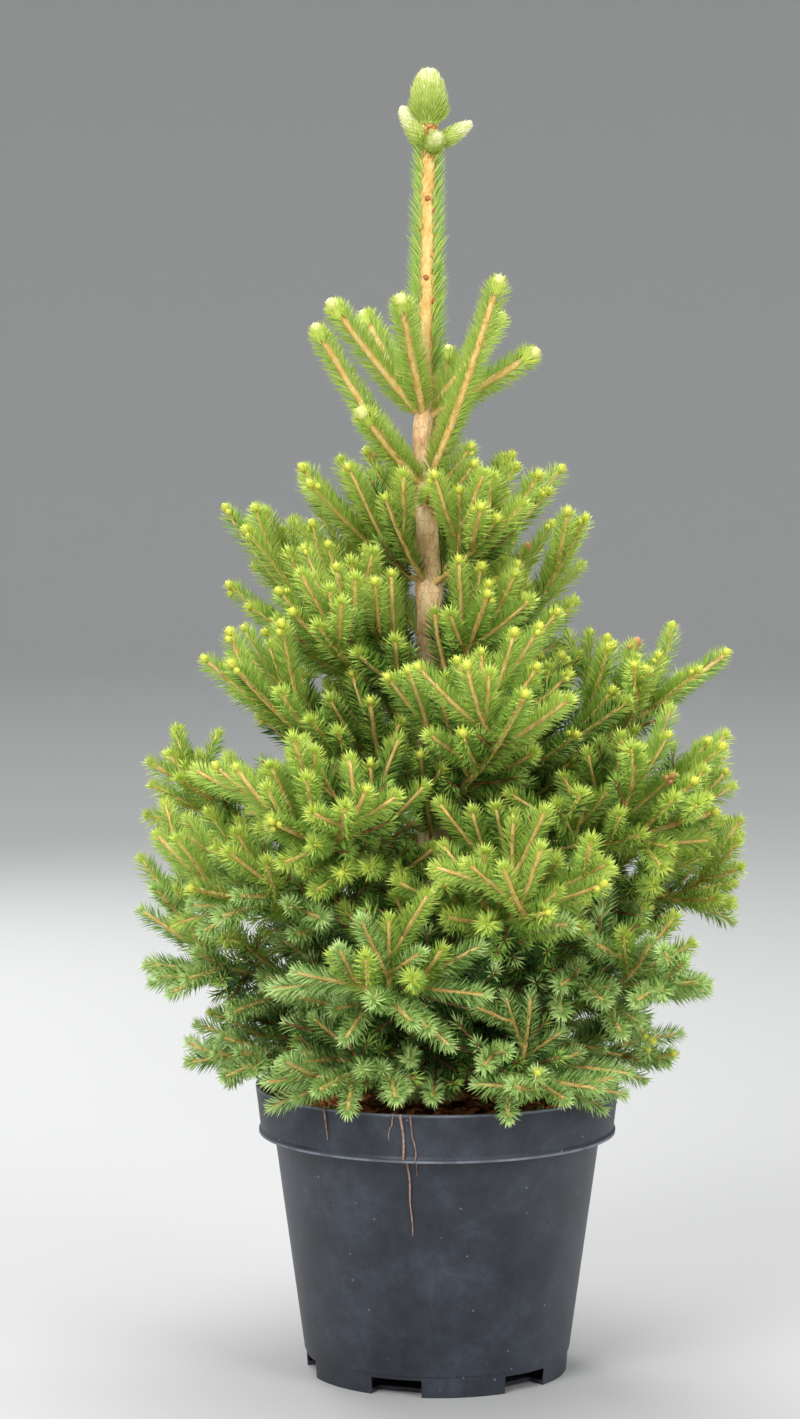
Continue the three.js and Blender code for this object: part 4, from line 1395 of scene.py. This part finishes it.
# Soft young needles laid up a packed bud like scales, creamy at the top.
def addFlush(heap, foot, axis, length, full, blades, bladeLength, paleFrom):
    look, axis = flushLook, unit(axis)
    side, third = squareTo(axis, (0.2, 0.9, 0.3))
    shares = 1 - (1 - np.linspace(0, 1, look["rings"])) ** look["ringCrowding"]
    radii = np.maximum(eggRadius(shares, full * look["coreShare"]), look["leastRadius"])
    square = [np.tile(direction, (look["rings"], 1)) for direction in (axis, side, third)]
    shades = [heap.names.index(name) for name in ("flushGreen", "flushLeaf", "flushPale", "flushCream")]

    def shadesAt(share):
        pale = share + needleRandom.uniform(-look["paleJitter"], look["paleJitter"], len(share)) - paleFrom
        return np.choose(sum((pale > step).astype(int) for step in look["paleSteps"]), shades)

    core = Heap(heap.names)
    addTube(core, (foot + axis * (shares * length)[:, None], *square), radii, "flushGreen", look["coreSides"])
    points, faces = core.points[0], core.faces[0]
    heap.add(points, faces, shadesAt((points[faces].mean(1) - foot) @ axis / length))
    share = look["bladesTo"] * (np.arange(blades) + 0.5) / blades
    outward, step = spiralOf(side, third, blades), look["slopeStep"]
    slope = (eggRadius(share + step, full) - eggRadius(share, full)) / (step * length)
    splay = look["splay"] + look["splayBelow"] * (1 - share)
    splay = splay + needleRandom.uniform(*look["splayJitter"], blades)
    direction = units(axis + outward * (np.maximum(slope, look["steepest"]) + splay)[:, None])
    base = foot + axis * (share * length)[:, None]
    base = base + outward * (eggRadius(share, full) * look["seat"])[:, None]
    size = bladeLength * (1 - look["bladeFall"] * share) * needleRandom.uniform(*look["bladeLengths"], blades)
    addNeedles(heap, base, direction, outward, size, shadesAt(share), look["bladeWidth"], look["keel"])


def makeLeader():
    look = leaderLook
    foot, top = trunkAt([look["from"], trunkStations[-1, 0] + look["pastTop"]])[0]
    curve = (foot, (foot + top) / 2, top)
    wood = Heap(woodNames)
    addTwig(wood, curve, 0, look["radii"], "shootBark", front, look["sides"], look["ring"])
    wood.build("leader_stem", "trunk_bark", ["trunk"], smooth=True)
    needles = Heap(list(needlePalette))
    addBrush(needles, curve, front, look["needlesFrom"], look["radii"], look["needle"], palettes["leader"],
             palettes["leader"], look["perMm"], False, look["lean"], look["part"], look["taper"])
    needles.build("leader_needle_brush", "needles", ["leader_needles"])


def makeFlush():
    look = flushLook
    heap, wood = Heap(list(needlePalette) + list(budPalette)), Heap(woodNames)
    foot = trunkAt(trunkStations[-1, 0])[0][0] * [1, 1, 0] + upwards * look["foot"]
    eggFoot = foot + upwards * look["length"] * look["eggFrom"]
    addFlush(heap, eggFoot, upwards, look["length"] * (look["eggTo"] - look["eggFrom"]), look["eggRadius"],
             look["blades"], look["blade"], look["palerFrom"])
    stem = (foot - upwards * 2, foot + upwards * 8, eggFoot + upwards * look["neckInto"])
    addTwig(wood, stem, 0, look["neckRadii"], "twigBark", front, look["neckSides"], look["neckRing"])
    for azimuth, reach, rise, radius, start in look["buds"]:
        root = foot + upwards * 2
        tip = root + heading(azimuth, 0) * reach + upwards * (rise - 2)
        low = root + (tip - root) * start
        stem = (root, (root + low) / 2, low + (tip - root) * look["sideInto"])
        addTwig(wood, stem, 0, look["sideRadii"], "twigBark", front, look["sideSides"], look["neckRing"])
        addFlush(heap, low, tip - low, np.linalg.norm(tip - low), radius, look["budBlades"],
                 look["budBlade"], look["budPalerFrom"])
    wood.build("flush_stem", "trunk_bark", ["leader_flush"], smooth=True)
    for count, low, high, radius, size in look["scales"]:
        for k in range(count):
            out = heading(math.degrees(k * goldenTurn), look["scaleRise"])
            spot = foot + upwards * (low + (high - low) * k / count) + out * radius
            kind = "budCream" if k % 6 == 5 else "budBrown" if k % 3 else "budRust"
            aim = out + upwards * look["scaleLift"]
            addBud(heap, spot, aim, size * look["scaleWidth"], size, kind, budSmall)
    for height, azimuth in leaderLook["sideBuds"]:
        out = heading(azimuth, leaderLook["budRise"])
        spot = trunkAt(height)[0][0] + out * leaderLook["budOut"]
        addBud(heap, spot, out, *leaderLook["budSize"], "budBrown" if azimuth % 2 else "budRust", budSmall)
    heap.build("new_flush", "new_growth", ["leader_flush"])


makeLeader()
makeFlush()
print("leader finished")


# ---- pot

potBevel = {"steps": 144, "width": 0.0005, "segments": 2, "angle": 28, "smoothBelow": 32}


def potProfile():
    size = potSizes
    shoulder = size["bandFoot"] + size["wall"]
    return [
        (0, 0), (size["footRadius"] - 1, 0), (size["footRadius"], size["footStep"]),
        (size["footRadius"] + size["ledge"], size["footStep"]),
        (size["bodyTopRadius"], size["bandFoot"]),
        (size["bandFootRadius"] + size["lip"], size["bandFoot"]),
        (size["bandFootRadius"] + size["lip"], size["bandFoot"] + size["lipHeight"]),
        (size["bandFootRadius"], size["bandStart"]),
        (size["rimRadius"], size["height"]), (size["rimRadius"] - size["wall"], size["height"]),
        (size["bandFootRadius"] - size["wall"], shoulder), (size["bodyTopRadius"] - size["wall"], shoulder),
        (size["footRadius"] - size["wall"], size["floor"]), (0, size["floor"]),
    ]


# Six blocks that cut the drain notches round the foot.
def notchCutter():
    cutter = bmesh.new()
    for k in range(potSizes["notches"]):
        turn = math.radians(potSizes["notchTurn"] + 360 / potSizes["notches"] * k)
        size = Matrix.Diagonal((potSizes["notchDepth"] * 2 * mm, potSizes["notchWidth"] * mm,
                                potSizes["notchHeight"] * 2 * mm, 1))
        place = Matrix.Rotation(turn, 4, "Z") @ Matrix.Translation((potSizes["footRadius"] * mm, 0, 0)) @ size
        bmesh.ops.create_cube(cutter, size=1, matrix=place)
    mesh = bpy.data.meshes.new("notches")
    cutter.to_mesh(mesh)
    cutter.free()
    return placed("notches", mesh)


def makePot():
    mesh = smoothMesh("nursery_pot", turned(inMetres(potProfile()), potBevel["steps"]))
    pot = finishPiece("nursery_pot", mesh, ["pot"], ["nurseryPlastic"])
    notches = notchCutter()
    cut = pot.modifiers.new("notches", "BOOLEAN")
    cut.object = notches
    cut.solver = "EXACT"
    soften = pot.modifiers.new("soften", "BEVEL")
    soften.width = potBevel["width"]
    soften.segments = potBevel["segments"]
    soften.limit_method = "ANGLE"
    soften.angle_limit = math.radians(potBevel["angle"])
    bpy.context.view_layer.update()
    final = bpy.data.meshes.new_from_object(pot.evaluated_get(bpy.context.evaluated_depsgraph_get()))
    pot.modifiers.clear()
    pot.data = final
    final.polygons.foreach_set("use_smooth", [True] * len(final.polygons))
    final.set_sharp_from_angle(angle=math.radians(potBevel["smoothBelow"]))
    bpy.data.objects.remove(notches)


makePot()
print("pot turned")


# ---- compost, bark chips, moss and dry rootlets

compostLook = {
    "seed": 7758,
    "foot": 14, "level": 188, "edgeDrop": 4, "mound": 40, "edge": 122.3, "spare": 0.35, "steps": 96,
    # rings of the top between its middle and its edge, and the height above which it is lumpy
    "rings": 28, "flat": 186, "lumpyFrom": 183.9,
    "lumpSize": 0.06, "lumpDepth": 1.8, "lumps": (0.9, 2.0, 4),  # roughness, finer by, octaves
}
chipLook = {
    "count": 900, "from": 0.02, "to": 0.94,  # shares of the compost's area
    "lengths": (5, 15), "widths": (3, 8), "depths": (1.5, 4.5), "raised": 1.2,
    "kinds": ["barkChip", "compost", "darkChip"], "shares": [0.5, 0.2, 0.3],
    "knocked": (0.55, 1.1), "tilt": 0.5,
}
mossLook = {
    "tufts": 130, "blades": 26, "from": 0.4, "to": 0.94, "spread": 3.4, "clearOfWall": 2, "sunk": 0.5,
    "splay": 0.45, "lengths": (3.5, 7.5), "halfWidth": 0.8, "keel": 0.4,
}
compostRandom = np.random.default_rng(compostLook["seed"])


def compostHeight(x, y):
    look = compostLook
    fall = max(math.hypot(x, y) - look["mound"], 0) / (look["edge"] - look["mound"]) * look["edgeDrop"]
    spot = Vector((x * look["lumpSize"], y * look["lumpSize"], 3.1))
    return look["level"] - fall + noise.fractal(spot, *look["lumps"]) * look["lumpDepth"]


def makeCompost():
    look, size = compostLook, potSizes
    edge, rings, inside = look["edge"], look["rings"], size["wall"] + look["spare"]
    profile = [(0, look["foot"]), (size["footRadius"] - inside, look["foot"]),
               (size["bodyTopRadius"] - inside, size["bandFoot"] + inside),
               (size["bandFootRadius"] - inside, size["bandFoot"] + inside),
               (edge, look["level"] - look["edgeDrop"])]
    profile += [(edge * (1 - k / rings), look["flat"]) for k in range(1, rings)] + [(0, look["level"])]
    bm = turned(inMetres(profile), look["steps"])
    for vert in bm.verts:
        if vert.co.z > look["lumpyFrom"] * mm:
            vert.co.z = compostHeight(vert.co.x / mm, vert.co.y / mm) * mm
    finishPiece("compost", smoothMesh("compost", bm), ["potting_soil"], ["compost"])


def makeBlock(bm):
    bmesh.ops.create_cube(bm, size=1)
    bmesh.ops.triangulate(bm, faces=bm.faces)


chipBlock = shapeOf(makeBlock)


# A split chip of bark: a block with its corners knocked about.
def addBlock(heap, place, size, kind):
    corners, faces = chipBlock
    corners = corners * size * compostRandom.uniform(*chipLook["knocked"], (8, 3))
    turn = Matrix.Rotation(compostRandom.uniform(0, math.tau), 3, "Z")
    for side in "XY":
        turn = turn @ Matrix.Rotation(compostRandom.uniform(-chipLook["tilt"], chipLook["tilt"]), 3, side)
    heap.add(np.array(place) + corners @ np.array(turn).T, faces, kind)


# A spot on the compost, even over its area.
def strewn(look):
    out = compostLook["edge"] * math.sqrt(compostRandom.uniform(look["from"], look["to"]))
    angle = compostRandom.uniform(0, math.tau)
    return out * math.cos(angle), out * math.sin(angle)


def strewChips():
    look = chipLook
    heap = Heap(look["kinds"])
    for _ in range(look["count"]):
        x, y = strewn(look)
        size = tuple(compostRandom.uniform(*look[span]) for span in ("lengths", "widths", "depths"))
        kind = heap.names[compostRandom.choice(len(look["shares"]), p=look["shares"])]
        addBlock(heap, (x, y, compostHeight(x, y) + look["raised"]), size, kind)
    heap.build("bark_chips", "compost")


def strewMoss():
    look, moss = mossLook, Heap(["moss"])
    for _ in range(look["tufts"]):
        spots = np.array(strewn(look)) + compostRandom.normal(0, look["spread"], (look["blades"], 2))
        spots = spots[np.hypot(*spots.T) < compostLook["edge"] - look["clearOfWall"]]
        base = np.array([(x, y, compostHeight(x, y) - look["sunk"]) for x, y in spots])
        direction = units(compostRandom.normal(0, look["splay"], base.shape) + upwards)
        outward = units(np.cross(direction, [0.31, 0.2, 0.93]))
        size = compostRandom.uniform(*look["lengths"], len(base))
        addNeedles(moss, base, direction, outward, size, np.zeros(len(base), int), look["halfWidth"],
                   look["keel"])
    moss.build("moss_tufts", "compost")


makeCompost()
strewChips()
strewMoss()

rootlets = {
    # azimuth where each crosses the rim, drop below the rim, radius, sideways drift
    "strands": [(233, 22, 0.9, 1.5), (258.5, 86, 1.1, 7), (261.5, 44, 0.8, 5), (256, 18, 0.6, -4)],
    "steps": 30, "sides": 6, "thinnest": 0.4,
    "overRim": 0.2,  # share of a strand that lies from the compost to the rim
    "from": (112, 186),  # radius and height where it leaves the compost, and the way to the rim
    "toRim": (13.5, 15.6, 0.7),  # outwards, upwards, and how soon it is up
    "aboveRim": 0.4, "offRim": 0.5, "offWall": 0.2, "rimBand": 3,
    "wander": 1.6, "wanderTurns": 5, "perDegree": 2.2,
}


# Radius of the pot's outside at a height, with the rim band and its lip.
def potOutside(z):
    size = potSizes
    if z > size["bandStart"]:
        return np.interp(z, [size["bandStart"], size["height"]], [size["bandFootRadius"], size["rimRadius"]])
    if z > size["bandFoot"]:
        return size["bandFootRadius"] + size["lip"]
    lowest = size["footRadius"] + size["ledge"]
    return np.interp(z, [size["footStep"], size["bandFoot"]], [lowest, size["bodyTopRadius"]])


def strandPath(azimuth, drop, radius, drift):
    path, look, rim = [], rootlets, potSizes["height"]
    for step in np.linspace(0, 1, look["steps"]):
        share = step / look["overRim"]
        if share < 1:  # out of the compost and up to the rim
            (out, z), (outwards, rise, soon) = look["from"], look["toRim"]
            out, z = out + outwards * share, z + rise * share ** soon
        else:
            z = rim + look["aboveRim"] - drop * (step - look["overRim"]) / (1 - look["overRim"])
            out = potOutside(z) + radius + look["offRim" if z > rim - look["rimBand"] else "offWall"]
        wander = noise.noise(Vector((azimuth, step * look["wanderTurns"], radius)))
        wander = drift * max(step - look["overRim"], 0) + look["wander"] * wander
        path.append(heading(azimuth + wander / look["perDegree"], 0) * out + upwards * z)
    return np.array(path)


def hangRootlets():
    heap = Heap(["rootlet"])
    for strand in rootlets["strands"]:
        path = strandPath(*strand)
        tangents = units(np.gradient(path, axis=0))
        across = units(np.cross(tangents, heading(strand[0], 20)))
        frames = (path, tangents, np.cross(across, tangents), across)
        radii = strand[2] * np.linspace(1, rootlets["thinnest"], len(path))
        addTube(heap, frames, radii, "rootlet", rootlets["sides"])
    heap.build("dry_rootlets", "compost", smooth=True)


hangRootlets()
print("compost strewn")
